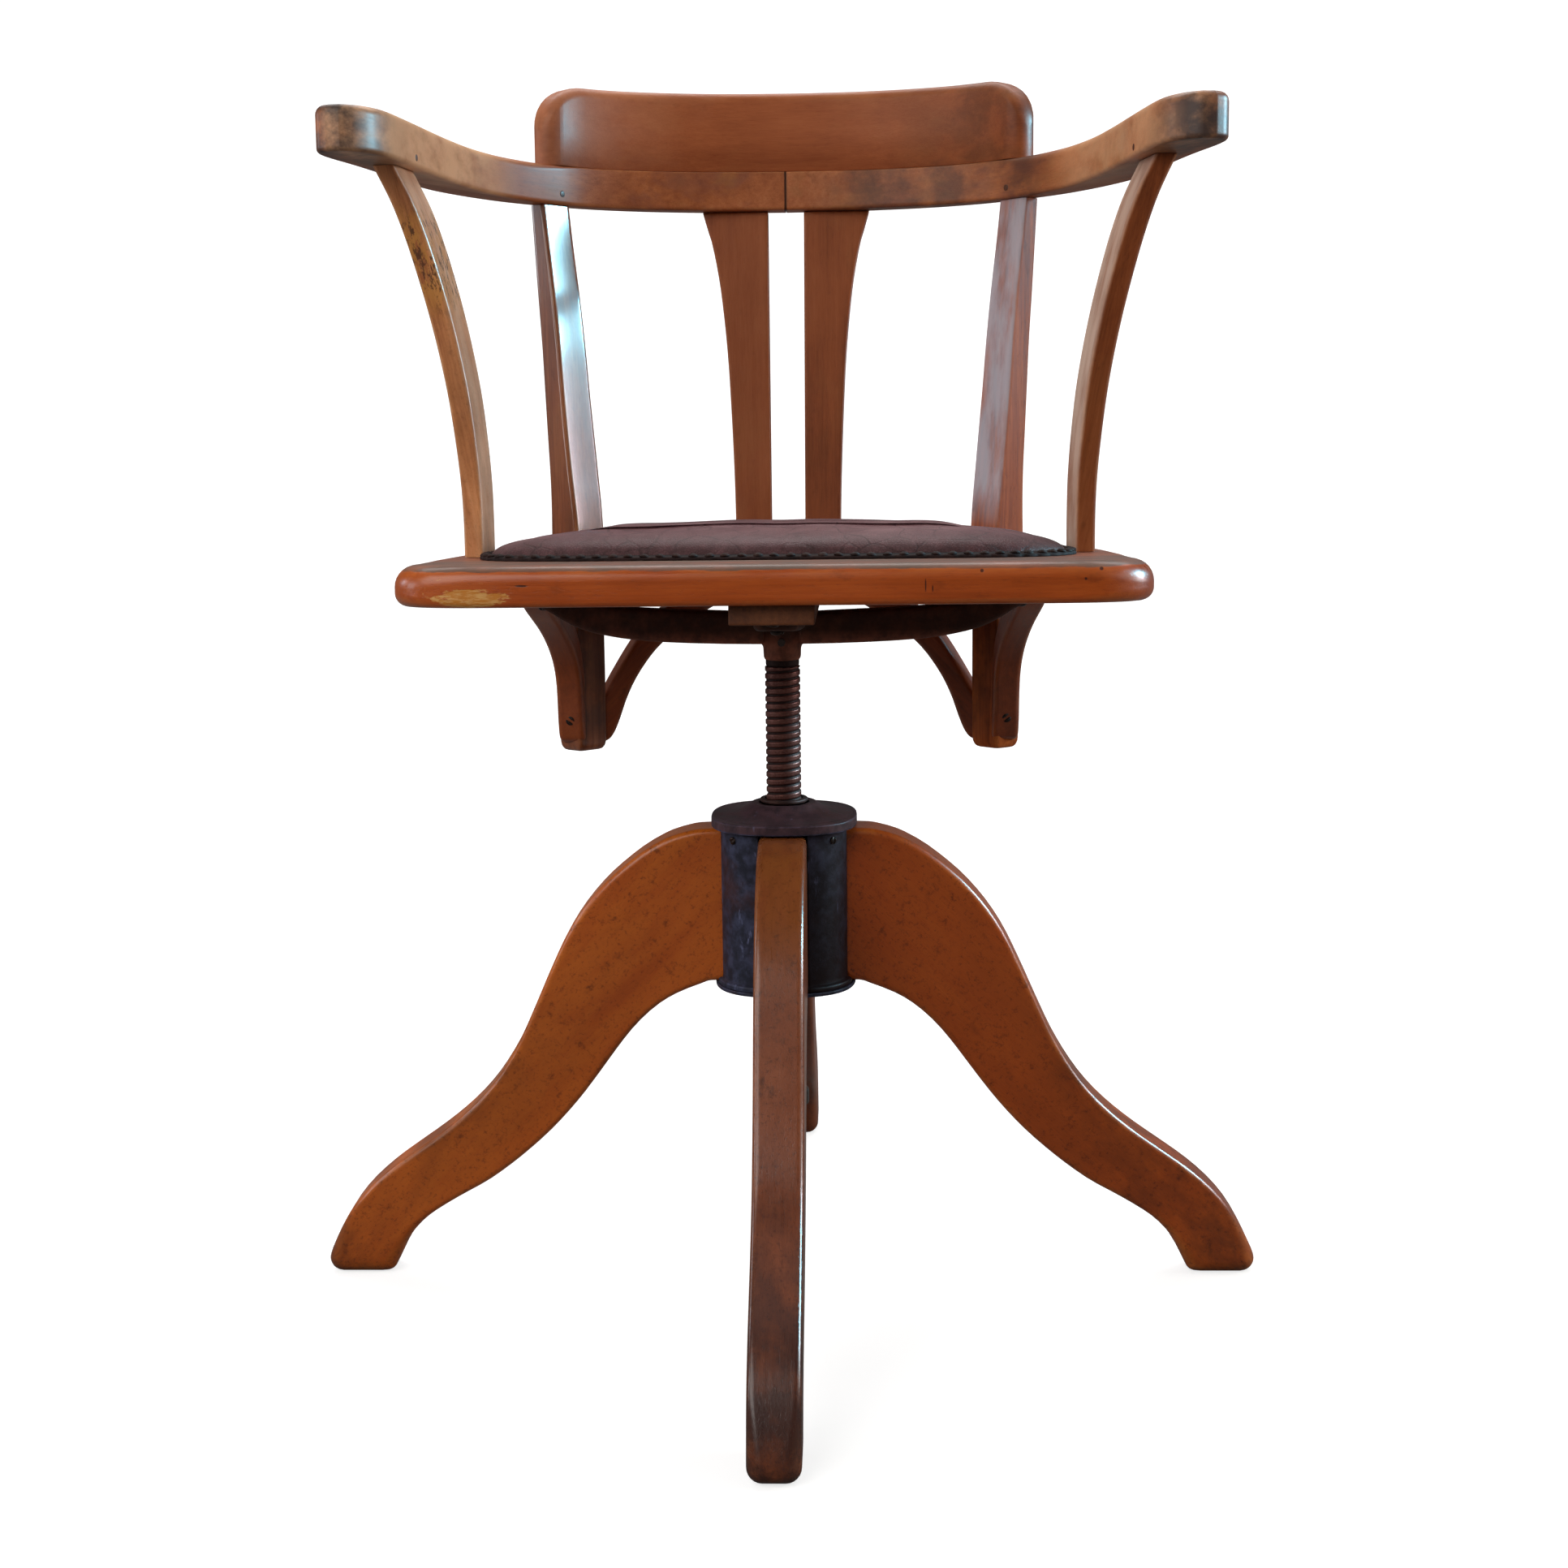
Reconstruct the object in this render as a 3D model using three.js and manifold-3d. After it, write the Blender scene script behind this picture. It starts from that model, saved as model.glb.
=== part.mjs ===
import * as THREE from 'three';
import { mergeVertices } from 'three/addons/utils/BufferGeometryUtils.js';
import Module from 'manifold-3d';

// Swivel desk chair with a screw-adjusted seat. Millimetres, +Z up, the sitter faces -Y.
// The spindle axis is the Z axis, the four feet stand on Z = 0.

// ---- driving dimensions -----------------------------------------------------------------
const GAP = 0.3;                 // clearance between neighbouring pieces
const SEAT_PITCH_DEG = 2.5;      // the seat, arms and back lean backwards on the spindle
const PIVOT_Z = 455;             // height of the point the lean is taken about

const LEG_THICK = 31.5;
const LEG_ROOT_R = 36;           // inner end of each leg, inside the casting
const HUB_HALF = 43.5;           // half width of the hub, a square with bulging sides in plan
const HUB_TOP_Z = 329.4;
const FLANGE_HALF = 48.8;        // the flange and the bottom plate follow the same plan
const FLANGE_Z0 = 314.2;
const FLANGE_Z1 = 321.6;
const HUB_BODY_Z0 = 208.6;
const PLATE_HALF = 47.4;
const PLATE_Z0 = 206;

const SPINDLE_R = 11.7;
const SPINDLE_Z0 = 118;
const SPINDLE_Z1 = 452;
const BORE_R = 13.2;
const NUT_R = 17;

const PLANK_Z0 = 472;            // underside of the seat plank, in the leaning frame
const PLANK_Z1 = 496;
const BATTEN_Z0 = 460;
const RAIL_Z0 = 736;             // arm rail, in the leaning frame
const RAIL_Z1 = 763;
const CREST_Z1 = 818.8;
const CREST_T = 21;
const PAD_CROWN = 19;

const wasm = await Module();
wasm.setup();

// ---- solid helpers ----------------------------------------------------------------------
function toSolid(geometry) {
  const g = geometry.clone();
  g.deleteAttribute('normal');
  g.deleteAttribute('uv');
  const m = mergeVertices(g, 1e-4);
  return new wasm.Manifold(new wasm.Mesh({
    numProp: 3,
    vertProperties: new Float32Array(m.attributes.position.array),
    triVerts: new Uint32Array(m.index.array),
  }));
}

function toGeometry(solid) {
  const mesh = solid.getMesh();
  const g = new THREE.BufferGeometry();
  g.setAttribute('position', new THREE.BufferAttribute(new Float32Array(mesh.vertProperties), 3));
  g.setIndex(new THREE.BufferAttribute(new Uint32Array(mesh.triVerts), 1));
  g.computeVertexNormals();
  return g;
}

// closed skin through rings that all have the same number of points
function skin(rings) {
  const n = rings[0].length;
  const pos = [];
  const idx = [];
  rings.forEach((ring) => ring.forEach((p) => pos.push(p.x, p.y, p.z)));
  for (let i = 0; i < rings.length - 1; i++) {
    for (let j = 0; j < n; j++) {
      const a = i * n + j;
      const b = i * n + ((j + 1) % n);
      idx.push(a, b, b + n, a, b + n, a + n);
    }
  }
  for (let j = 1; j < n - 1; j++) idx.push(0, j + 1, j);
  const last = (rings.length - 1) * n;
  for (let j = 1; j < n - 1; j++) idx.push(last, last + j, last + j + 1);
  const g = new THREE.BufferGeometry();
  g.setAttribute('position', new THREE.Float32BufferAttribute(pos, 3));
  g.setIndex(idx);
  g.computeVertexNormals();
  return g;
}

// rectangle with cut corners, half sizes a and b along the unit vectors u and v
function ringRect(c, u, v, a, b, cut) {
  const k = Math.min(cut, a * 0.45, b * 0.45);
  const pts = [
    [a - k, -b], [a, -b + k], [a, b - k], [a - k, b],
    [-a + k, b], [-a, b - k], [-a, -b + k], [-a + k, -b],
  ];
  return pts.map(([s, t]) => new THREE.Vector3(
    c.x + u.x * s + v.x * t, c.y + u.y * s + v.y * t, c.z + u.z * s + v.z * t));
}

function smooth(points, n) {
  const curve = new THREE.SplineCurve(points.map(([x, y]) => new THREE.Vector2(x, y)));
  return curve.getSpacedPoints(n).map((p) => [p.x, p.y]);
}

function shapeOf(points) {
  const s = new THREE.Shape();
  points.forEach(([x, y], i) => (i ? s.lineTo(x, y) : s.moveTo(x, y)));
  s.closePath();
  return s;
}

// plate of the given outline from z0 to z1 with eased edges
function board(points, z0, z1, ease, segments = 1) {
  const g = new THREE.ExtrudeGeometry(shapeOf(points), {
    depth: z1 - z0 - 2 * ease, steps: 1, curveSegments: 1,
    bevelEnabled: ease > 0, bevelThickness: ease, bevelSize: ease, bevelOffset: -ease,
    bevelSegments: segments,
  });
  g.translate(0, 0, z0 + ease);
  return g;
}

function turned(profile, segments) {
  const g = new THREE.LatheGeometry(profile.map(([r, z]) => new THREE.Vector2(r, z)), segments);
  g.rotateX(Math.PI / 2);          // lathe axis Y becomes Z
  return g;
}

function mirrorX(geometry) {
  const g = geometry.clone();
  g.applyMatrix4(new THREE.Matrix4().makeScale(-1, 1, 1));
  const idx = g.index ? Array.from(g.index.array) : [...Array(g.attributes.position.count).keys()];
  for (let i = 0; i < idx.length; i += 3) [idx[i], idx[i + 1]] = [idx[i + 1], idx[i]];
  g.setIndex(idx);
  g.computeVertexNormals();
  return g;
}

const mirrored = (points) => points.slice().reverse().map(([x, y]) => [-x, y]);

// ---- materials --------------------------------------------------------------------------
const wood = () => new THREE.MeshStandardMaterial({ color: 0x96501f, roughness: 0.42, metalness: 0 });
const darkWood = () => new THREE.MeshStandardMaterial({ color: 0x7a3f1d, roughness: 0.45, metalness: 0 });
const iron = () => new THREE.MeshStandardMaterial({ color: 0x22242a, roughness: 0.55, metalness: 0.6 });
const rustIron = () => new THREE.MeshStandardMaterial({ color: 0x3a2725, roughness: 0.6, metalness: 0.7 });
const leather = () => new THREE.MeshStandardMaterial({ color: 0x553b3c, roughness: 0.45, metalness: 0 });
const gimp = () => new THREE.MeshStandardMaterial({ color: 0x241a1c, roughness: 0.7, metalness: 0 });

const group = new THREE.Group();
group.name = 'bankers_swivel_chair';
function add(name, geometry, material) {
  const mesh = new THREE.Mesh(geometry, material);
  mesh.name = name;
  group.add(mesh);
}

// moves geometry drawn upright into the leaning frame of the seat
const lean = new THREE.Matrix4().makeTranslation(0, 0, PIVOT_Z)
  .multiply(new THREE.Matrix4().makeRotationX(-THREE.MathUtils.degToRad(SEAT_PITCH_DEG)))
  .multiply(new THREE.Matrix4().makeTranslation(0, 0, -PIVOT_Z));
function addLeaning(name, geometry, material) {
  const g = geometry.clone();
  g.applyMatrix4(lean);
  g.computeVertexNormals();
  add(name, g, material);
}

// ---- legs -------------------------------------------------------------------------------
const legTop = smooth([
  [LEG_ROOT_R, 313.6], [50, 313.5], [61, 312.6], [75, 308.7], [86, 303.4], [95.7, 297.4], [103.7, 291.4],
  [116.7, 280.4], [127.6, 269], [136.7, 257.6], [144.3, 246.1], [150.6, 234.7], [156, 223.2],
  [161.3, 211.6], [166.3, 200.1], [171.5, 188.4], [179, 172], [185.5, 159.8], [192.8, 147.8],
  [201.2, 136], [211.5, 124.3], [224.2, 112.4], [239.3, 100.4], [256, 88.5], [272.6, 76.4],
  [286.9, 64], [297.8, 52], [306, 40], [312.4, 28], [317.6, 17], [320, 10.5],
], 27);
const legBottom = smooth([
  [274.4, 2.2], [271, 9], [266, 19.5], [258.4, 31.6], [246, 43.6], [226.5, 55.9], [206.5, 67.2],
  [189.4, 79.5], [174.8, 91.6], [162, 103.4], [151, 115], [141, 126.7], [132, 138.4], [123.5, 150],
  [115, 161.7], [106.2, 173.1], [96.5, 183.6], [86.5, 192.2], [76.5, 198.6], [66, 203.4],
  [57, 206.8], [50, 209], [LEG_ROOT_R, 209.2],
], 21);
const legOutline = [...legTop, [319.6, 6.4], [317.4, 2.8], [314, 0.7], [310, 0], [283, 0], [278, 0.5], ...legBottom];
const legBoard = board(legOutline, -LEG_THICK / 2, LEG_THICK / 2, 3);
legBoard.rotateX(Math.PI / 2);     // outline stands upright in the XZ plane
[['leg_right', 0], ['leg_rear', 90], ['leg_left', 180], ['leg_front', 270]].forEach(([name, deg]) => {
  const g = legBoard.clone();
  g.rotateZ(THREE.MathUtils.degToRad(deg));
  add(name, g, wood());
});

// ---- hub --------------------------------------------------------------------------------
// rounded square outline, half is measured across the middle of its sides
const HUB_POWER = 2.5;
function rounded(half, n = 40) {
  const pts = [];
  for (let i = 0; i < n; i++) {
    const t = (2 * Math.PI * i) / n + 1e-4;
    const c = Math.cos(t);
    const d = Math.sin(t);
    pts.push([half * Math.sign(c) * Math.abs(c) ** (2 / HUB_POWER), half * Math.sign(d) * Math.abs(d) ** (2 / HUB_POWER)]);
  }
  return pts;
}
const hubBody = toSolid(board(rounded(HUB_HALF), HUB_BODY_Z0, FLANGE_Z0 + 2, 0));
const hubLip = toSolid(board(rounded(46.6), HUB_BODY_Z0, 212, 0.8));
const hubFlange = toSolid(board(rounded(FLANGE_HALF), FLANGE_Z0, FLANGE_Z1, 2.2, 2));
const hubCone = toSolid(turned([
  [0, FLANGE_Z0 + 1], [46, FLANGE_Z0 + 3], [46, FLANGE_Z1], [40, 322.2], [34, 323.3], [28, 325.2], [24, 327.3],
  [21.5, 329], [20.6, HUB_TOP_Z], [0, HUB_TOP_Z],
], 32));
let hub = hubBody.add(hubLip).add(hubFlange).add(hubCone);
for (const deg of [0, 90, 180, 270]) {
  const slot = new THREE.BoxGeometry(40, LEG_THICK + 2 * GAP, FLANGE_Z0 - 0.1 - (HUB_BODY_Z0 - 5));
  slot.translate(LEG_ROOT_R - GAP + 20, 0, (FLANGE_Z0 - 0.1 + HUB_BODY_Z0 - 5) / 2);
  slot.rotateZ(THREE.MathUtils.degToRad(deg));
  hub = hub.subtract(toSolid(slot));
}
const through = (r, z0, z1, segments = 20) => {
  const g = new THREE.CylinderGeometry(r, r, z1 - z0, segments);
  g.rotateX(Math.PI / 2);
  g.translate(0, 0, (z0 + z1) / 2);
  return g;
};
hub = hub.subtract(toSolid(through(BORE_R, HUB_BODY_Z0 - 5, HUB_TOP_Z + 5)));
hub = hub.subtract(toSolid(through(NUT_R + GAP, 296, HUB_TOP_Z + 5)));

const hubScrewAngles = [['front_left', 225], ['front_right', 315], ['rear_right', 45], ['rear_left', 135]];
const facetDist = HUB_HALF * 2 ** (0.5 - 1 / HUB_POWER);     // centre to the middle of a corner
const screwGeometry = (headR, headH, shankR, length, segments = 8) => turned([
  [0, -length], [shankR, -length], [shankR, 0], [headR, 0], [headR * 0.72, headH], [0, headH],
], segments);
// blind hole below z = 0 for a screw shank
const drill = (r, length) => turned([[0, -length], [r, -length], [r, 0.2], [0, 0.2]], 8);
hubScrewAngles.forEach(([name, deg]) => {
  const place = (g) => {
    g.rotateY(Math.PI / 2);
    g.translate(facetDist + GAP, 0, 309.4);
    g.rotateZ(THREE.MathUtils.degToRad(deg));
    return g;
  };
  hub = hub.subtract(toSolid(place(drill(1.9, 9.5))));
  add(`hub_screw_${name}`, place(screwGeometry(2.7, 1.6, 1.6, 9)), rustIron());
});
add('hub_casting', toGeometry(hub), iron());

add('hub_nut', turned([
  [SPINDLE_R + 0.5, 296.4], [NUT_R, 296.4], [NUT_R, HUB_TOP_Z], [SPINDLE_R + 0.5, HUB_TOP_Z], [SPINDLE_R + 0.5, 296.4],
], 20), rustIron());

let plate = toSolid(board(rounded(PLATE_HALF), PLATE_Z0, HUB_BODY_Z0 - GAP, 0.7));
plate = plate.subtract(toSolid(through(BORE_R, PLATE_Z0 - 5, HUB_BODY_Z0 + 5)));
hubScrewAngles.forEach(([name, deg]) => {
  const place = (g) => {
    g.rotateX(Math.PI);
    g.translate(30, 0, PLATE_Z0 - GAP);
    g.rotateZ(THREE.MathUtils.degToRad(deg));
    return g;
  };
  const hole = toSolid(place(drill(2.6, 15)));
  plate = plate.subtract(hole);
  hub = hub.subtract(hole);
  add(`plate_screw_${name}`, place(screwGeometry(4.2, 2.2, 2.3, 14)), rustIron());
});
group.children.find((m) => m.name === 'hub_casting').geometry = toGeometry(hub);
add('hub_bottom_plate', toGeometry(plate), iron());

// ---- spindle ----------------------------------------------------------------------------
add('spindle_washer', turned([
  [SPINDLE_R + 0.6, HUB_TOP_Z + GAP], [18.6, HUB_TOP_Z + GAP], [18.6, HUB_TOP_Z + 2.3], [17.8, HUB_TOP_Z + 2.9],
  [SPINDLE_R + 0.6, HUB_TOP_Z + 2.9], [SPINDLE_R + 0.6, HUB_TOP_Z + GAP],
], 22), iron());

const pinZ = 438;
let spindle = toSolid(turned([
  [0, SPINDLE_Z0], [SPINDLE_R - 4.6, SPINDLE_Z0], [SPINDLE_R - 4.6, SPINDLE_Z0 + 12], [SPINDLE_R - 1, SPINDLE_Z0 + 12],
  [SPINDLE_R, SPINDLE_Z0 + 13], [SPINDLE_R, 421], [SPINDLE_R - 0.6, 422.4], [SPINDLE_R - 0.6, SPINDLE_Z1 - 1],
  [SPINDLE_R - 1.6, SPINDLE_Z1], [0, SPINDLE_Z1],
], 22));
const crossBore = (r, half) => {
  const g = new THREE.CylinderGeometry(r, r, 2 * half, 10);
  g.translate(0, 0, pinZ);
  return g;
};
spindle = spindle.subtract(toSolid(crossBore(2.8, 20)));
add('screw_spindle', toGeometry(spindle), rustIron());
add('spindle_end_stop', turned([
  [SPINDLE_R - 4.3, SPINDLE_Z0 + 0.6], [14, SPINDLE_Z0 + 0.6], [14.8, SPINDLE_Z0 + 1.6], [14.8, SPINDLE_Z0 + 10.4],
  [14, SPINDLE_Z0 + 11.4], [SPINDLE_R - 4.3, SPINDLE_Z0 + 11.4], [SPINDLE_R - 4.3, SPINDLE_Z0 + 0.6],
], 16), rustIron());

// ---- spider under the seat --------------------------------------------------------------
const X = new THREE.Vector3(1, 0, 0);
const Y = new THREE.Vector3(0, 1, 0);
const Z = new THREE.Vector3(0, 0, 1);
// side arms rise from the boss to the seat underside; stations are x, top, bottom, width
const sideArm = [
  [0, 457.4, 436, 30], [22, 457.0, 436.2, 28], [40, 457.6, 436.6, 25], [66, 458.6, 437.4, 24], [92, 459.8, 439.0, 23],
  [112, 461.4, 441.6, 22], [130, 464.2, 446.0, 22], [143, 467.2, 452, 23], [151, PLANK_Z0 - GAP, 457, 24],
  [160, PLANK_Z0 - GAP, 461.5, 24], [168.5, PLANK_Z0 - GAP, 464, 21],
].map(([x, top, bottom, w]) => ringRect(new THREE.Vector3(x, 0, (top + bottom) / 2), Y, Z, w / 2, (top - bottom) / 2, 3));
const endArm = [
  [0, 448.5, 34], [40, 448.5, 34], [80, 449.5, 31], [104, 451, 26], [110, 452.5, 20],
].map(([y, bottom, w]) => ringRect(
  new THREE.Vector3(0, y, (BATTEN_Z0 - GAP + bottom) / 2), new THREE.Vector3(-1, 0, 0), Z, w / 2, (BATTEN_Z0 - GAP - bottom) / 2, 2.5));
const endArmGeometry = skin(endArm);
const frontArmGeometry = endArmGeometry.clone();
frontArmGeometry.rotateZ(Math.PI);
const boss = toSolid(turned([
  [0, 425], [13.6, 425], [14.2, 427.6], [16.6, 440], [20, 457], [0, 457],
], 22));
const leanSolid = (geometry) => { const g = geometry.clone(); g.applyMatrix4(lean); return toSolid(g); };
let spider = boss.add(leanSolid(skin(sideArm))).add(leanSolid(mirrorX(skin(sideArm))))
  .add(leanSolid(endArmGeometry)).add(leanSolid(frontArmGeometry));
spider = spider.subtract(toSolid(through(SPINDLE_R + GAP, 420, SPINDLE_Z1 + GAP)));
spider = spider.subtract(toSolid(crossBore(2.8, 40)));
add('spindle_cross_pin', crossBore(2.5, 17), iron());

// ---- seat plank, batten and their screws (drawn upright, then leaned) ---------------------
const plankHalf = [
  [0, -199.5], [60, -200.5], [120, -201], [165, -200.5], [192, -198], [209, -190.5], [219, -178], [223, -161],
  [222, -140], [219.5, -110], [218, -70], [217, -30], [215.5, 2], [212.5, 35], [206.5, 68], [196, 98],
  [179, 125], [156, 148], [126, 166.5], [90, 179.5], [48, 188], [0, 190.5],
];
const plankRight = smooth(plankHalf, 27);
const plankOutline = [...plankRight, ...mirrored(plankRight).slice(1, -1)];
let plank = toSolid(board(plankOutline, PLANK_Z0, PLANK_Z1, 5));

const battenRing = (grow) => {
  const g = new THREE.BoxGeometry(50 + grow, 372, PLANK_Z0 - GAP - BATTEN_Z0);
  g.translate(0, -2, (PLANK_Z0 - GAP + BATTEN_Z0) / 2);
  return g;
};
let batten = toSolid(battenRing(0));

// screws that come up from below; each is x, y, height of the seating face
const upScrews = [
  ['spider_screw_left', -157, 0, 462.4, 8.5, 4.4], ['spider_screw_right', 157, 0, 462.4, 8.5, 4.4],
  ['spider_screw_front', 0, -92, 450.0, 18, 4.4], ['spider_screw_rear', 0, 92, 450.0, 18, 4.4],
  ['batten_screw_front', 0, -168, BATTEN_Z0, 22, 4.2], ['batten_screw_rear', 0, 164, BATTEN_Z0, 22, 4.2],
];
let spiderHoles = null;
const upPlace = (g, x, y, z) => { g.rotateX(Math.PI); g.translate(x, y, z); return g; };
upScrews.forEach(([name, x, y, z, length, headR]) => {
  addLeaning(name, upPlace(screwGeometry(headR, 2.4, 2.3, length + 6), x, y, z - GAP), rustIron());
  const hole = upPlace(drill(2.6, length + 7), x, y, z - GAP);
  const holeSolid = toSolid(hole);
  plank = plank.subtract(holeSolid);
  batten = batten.subtract(holeSolid);
  const relief = upPlace(screwGeometry(headR + 0.6, 6, 2.6, length + 7), x, y, z);
  const leaningHole = leanSolid(relief);
  spiderHoles = spiderHoles ? spiderHoles.add(leaningHole) : leaningHole;
});
spider = spider.subtract(spiderHoles);
add('spider_casting', toGeometry(spider), iron());
addLeaning('seat_batten', toGeometry(batten), darkWood());

// ---- rear posts -------------------------------------------------------------------------
// stations: height, x, y, width along the rail, thickness across the rail
const postStations = [
  [351, 148.6, 125.4, 18, 14.5], [355.5, 148.6, 125.4, 25, 20.6], [366, 148.6, 125.4, 26.4, 22.6], [405, 148.8, 125.4, 26.6, 23.6],
  [445, 149.2, 125.6, 26.6, 24.6], [472, 149.4, 125.8, 26.6, 27], [500, 149.4, 126, 26.8, 28.2], [524, 149.8, 126.1, 27.6, 25.5],
  [548, 151, 126.8, 28.2, 22.5], [575, 152.8, 127.8, 28.2, 20.8], [605, 154.8, 129, 27.6, 19.4], [640, 157, 130.4, 27, 18.2],
  [675, 159.8, 131.9, 26.4, 17], [710, 162.8, 133.6, 26, 14.5], [RAIL_Z0 - GAP, 164.8, 134.6, 26, 12.8],
];
const railAng = THREE.MathUtils.degToRad(41.5);
const across = new THREE.Vector3(Math.cos(railAng), Math.sin(railAng), 0);      // outward from the sitter
const along = new THREE.Vector3(-Math.sin(railAng), Math.cos(railAng), 0);      // along the rail
const postRings = (grow, z0, z1) => postStations
  .filter(([z]) => z >= z0 && z <= z1)
  .map(([z, x, y, w, t]) => ringRect(new THREE.Vector3(x, y, z), across, along, t / 2 + grow, w / 2 + grow, 2));
const rearPost = skin(postRings(0, 0, 1000));
const postClear = skin(postRings(GAP, 340, 600));
const postClearSolid = toSolid(postClear);
plank = plank.subtract(postClearSolid).subtract(toSolid(mirrorX(postClear)));
addLeaning('rear_post_right', rearPost, wood());
addLeaning('rear_post_left', mirrorX(rearPost), wood());
addLeaning('seat_plank', toGeometry(plank), wood());

// ---- curved braces between the rear posts and the seat ----------------------------------
// profiles: distance from the post along the brace, height
const rearBraceProfile = [
  ...smooth([[-6, 355], [4, 356.5], [9.6, 362], [14.6, 373], [19.4, 386], [25.5, 398.5], [33, 410], [42.5, 421.5],
    [54, 431.5], [68, 441], [83, 449.5], [98, 457], [110, 463.5], [114, PLANK_Z0 - GAP]], 14),
  ...smooth([[74, PLANK_Z0 - GAP], [60, 458.5], [48, 450], [37.5, 440], [28, 429.5], [20, 418], [12, 405.4], [3, 391], [-6, 383]], 7),
];
const frontBraceProfile = [
  ...smooth([[-6, 356], [4.6, 359.5], [8.4, 370], [9.6, 384], [11.8, 400], [17.4, 412.5], [27.4, 423.5], [41, 433.5], [56, 442],
    [72, 449.5], [88, 457], [98, 464], [101, PLANK_Z0 - GAP]], 13),
  ...smooth([[62, PLANK_Z0 - GAP], [50, 461], [36, 452], [21, 441.5], [9, 428], [0, 408], [-6, 398]], 6),
];
function brace(profile, x, y, dx, dy, thick) {
  const g = board(profile, -thick / 2, thick / 2, 2);
  g.rotateX(Math.PI / 2);
  g.rotateZ(Math.atan2(dy, dx));
  g.translate(x, y, 0);
  return g;
}
const braceParts = [
  ['rear', brace(rearBraceProfile, 138.6, 137, -0.93, 0.367, 19)],
  ['front', brace(frontBraceProfile, 154.4, 115.4, 0.135, -0.991, 19)],
];
const braceScrewSeat = {
  rear: { at: [138.6, 137], dir: [-0.93, 0.367], s: 12.4, z: 371 },
  front: { at: [154.4, 115.4], dir: [0.135, -0.991], s: 7.4, z: 374 },
};
let postLower = toSolid(rearPost);
braceParts.forEach(([which, geometry]) => {
  const seat = braceScrewSeat[which];
  const ang = Math.atan2(seat.dir[1], seat.dir[0]);
  const place = (g) => {
    g.rotateY(Math.PI / 2);
    g.rotateZ(ang);
    g.translate(seat.at[0] + seat.dir[0] * seat.s, seat.at[1] + seat.dir[1] * seat.s, seat.z);
    return g;
  };
  const hole = toSolid(place(drill(2.3, 22)));
  const relief = toSolid(place(turned([[0, -22], [2.3, -22], [2.3, -1.2], [4.6, -1.2], [4.6, 12], [0, 12]], 8)));
  const body = toSolid(geometry).subtract(postClearSolid).subtract(relief);
  const g = toGeometry(body);
  const screw = place(screwGeometry(3.9, 2.2, 2, 20.5));
  postLower = postLower.subtract(hole);
  addLeaning(`brace_right_${which}`, g, wood());
  addLeaning(`brace_left_${which}`, mirrorX(g), wood());
  addLeaning(`brace_screw_right_${which}`, screw, rustIron());
  addLeaning(`brace_screw_left_${which}`, mirrorX(screw), rustIron());
});
[['rear_post_right', toGeometry(postLower)], ['rear_post_left', mirrorX(toGeometry(postLower))]].forEach(([name, g]) => {
  g.applyMatrix4(lean);
  g.computeVertexNormals();
  group.children.find((m) => m.name === name).geometry = g;
});

// ---- splats -----------------------------------------------------------------------------
const splatOuter = smooth([
  [38.6, PLANK_Z1 + GAP], [38.7, 514], [39.2, 540], [40.2, 570], [41.4, 598], [43, 628], [45.4, 657], [48.8, 686],
  [53.6, 712], [57.2, 724], [60.5, RAIL_Z0 - GAP],
], 16);
const splatOutline = [[12.2, PLANK_Z1 + GAP], ...splatOuter, [13, RAIL_Z0 - GAP]];
const splatRight = board(splatOutline, -5.5, 5.5, 1.2);
splatRight.rotateX(Math.PI / 2);
const shear = new THREE.Matrix4().set(1, 0, 0, 0, 0, 1, 11 / 240, 180 - (11 / 240) * PLANK_Z1, 0, 0, 1, 0, 0, 0, 0, 1);
splatRight.applyMatrix4(shear);
addLeaning('splat_right', splatRight, wood());
addLeaning('splat_left', mirrorX(splatRight), wood());

// ---- arm posts --------------------------------------------------------------------------
// stations: height, x, y, thickness across, depth along the arm
const armPostStations = [
  [PLANK_Z1 + GAP, 192, -42, 13, 26], [522, 192, -42.8, 13, 26.4], [545, 192.7, -44, 13.4, 27], [570, 194.6, -45.8, 13.8, 28],
  [596, 197.4, -48, 14.2, 29], [620, 201.1, -50.6, 14.4, 30], [644, 205.7, -53.6, 14.5, 31.4], [668, 211.2, -57, 14.5, 33],
  [692, 217.6, -60.6, 14.4, 34.6], [714, 225, -63.8, 14.2, 36], [RAIL_Z0 - GAP, 235, -67, 14, 37],
];
const armAng = THREE.MathUtils.degToRad(8.9);
const armAcross = new THREE.Vector3(Math.cos(armAng), Math.sin(armAng), 0);
const armAlong = new THREE.Vector3(-Math.sin(armAng), Math.cos(armAng), 0);
const armPost = skin(armPostStations.map(([z, x, y, a, b]) => ringRect(
  new THREE.Vector3(x, y, z), armAcross, armAlong, a / 2, b / 2, 1.8)));
addLeaning('arm_post_right', armPost, wood());
addLeaning('arm_post_left', mirrorX(armPost), wood());

// ---- arm rail, two sawn halves meeting behind the back ------------------------------------
const railInner = [
  [0.2, 178.7], [30, 177.6], [60, 174.4], [90, 167.6], [117, 158], [140, 144.5], [156, 129.5], [170, 111], [181, 93],
  [190.5, 74], [198, 52], [204.5, 26], [211, -12], [216.5, -52], [221.5, -88], [226, -115], [232, -131], [241, -142], [250, -146.5],
];
const railOuter = [
  [258, -145.5], [264.5, -140], [267, -129], [264.5, -112], [260, -94], [255, -72], [249.5, -44], [244.5, -14], [239.5, 16],
  [233.5, 40], [225.5, 60], [216, 79], [206, 96], [195, 112], [181.5, 127.5], [163, 146], [139, 164.5], [110, 179.5], [76, 190.5], [40, 197.5], [0.2, 200],
];
const railOutline = [...smooth(railInner, 25), ...smooth(railOuter, 24)];
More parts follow.
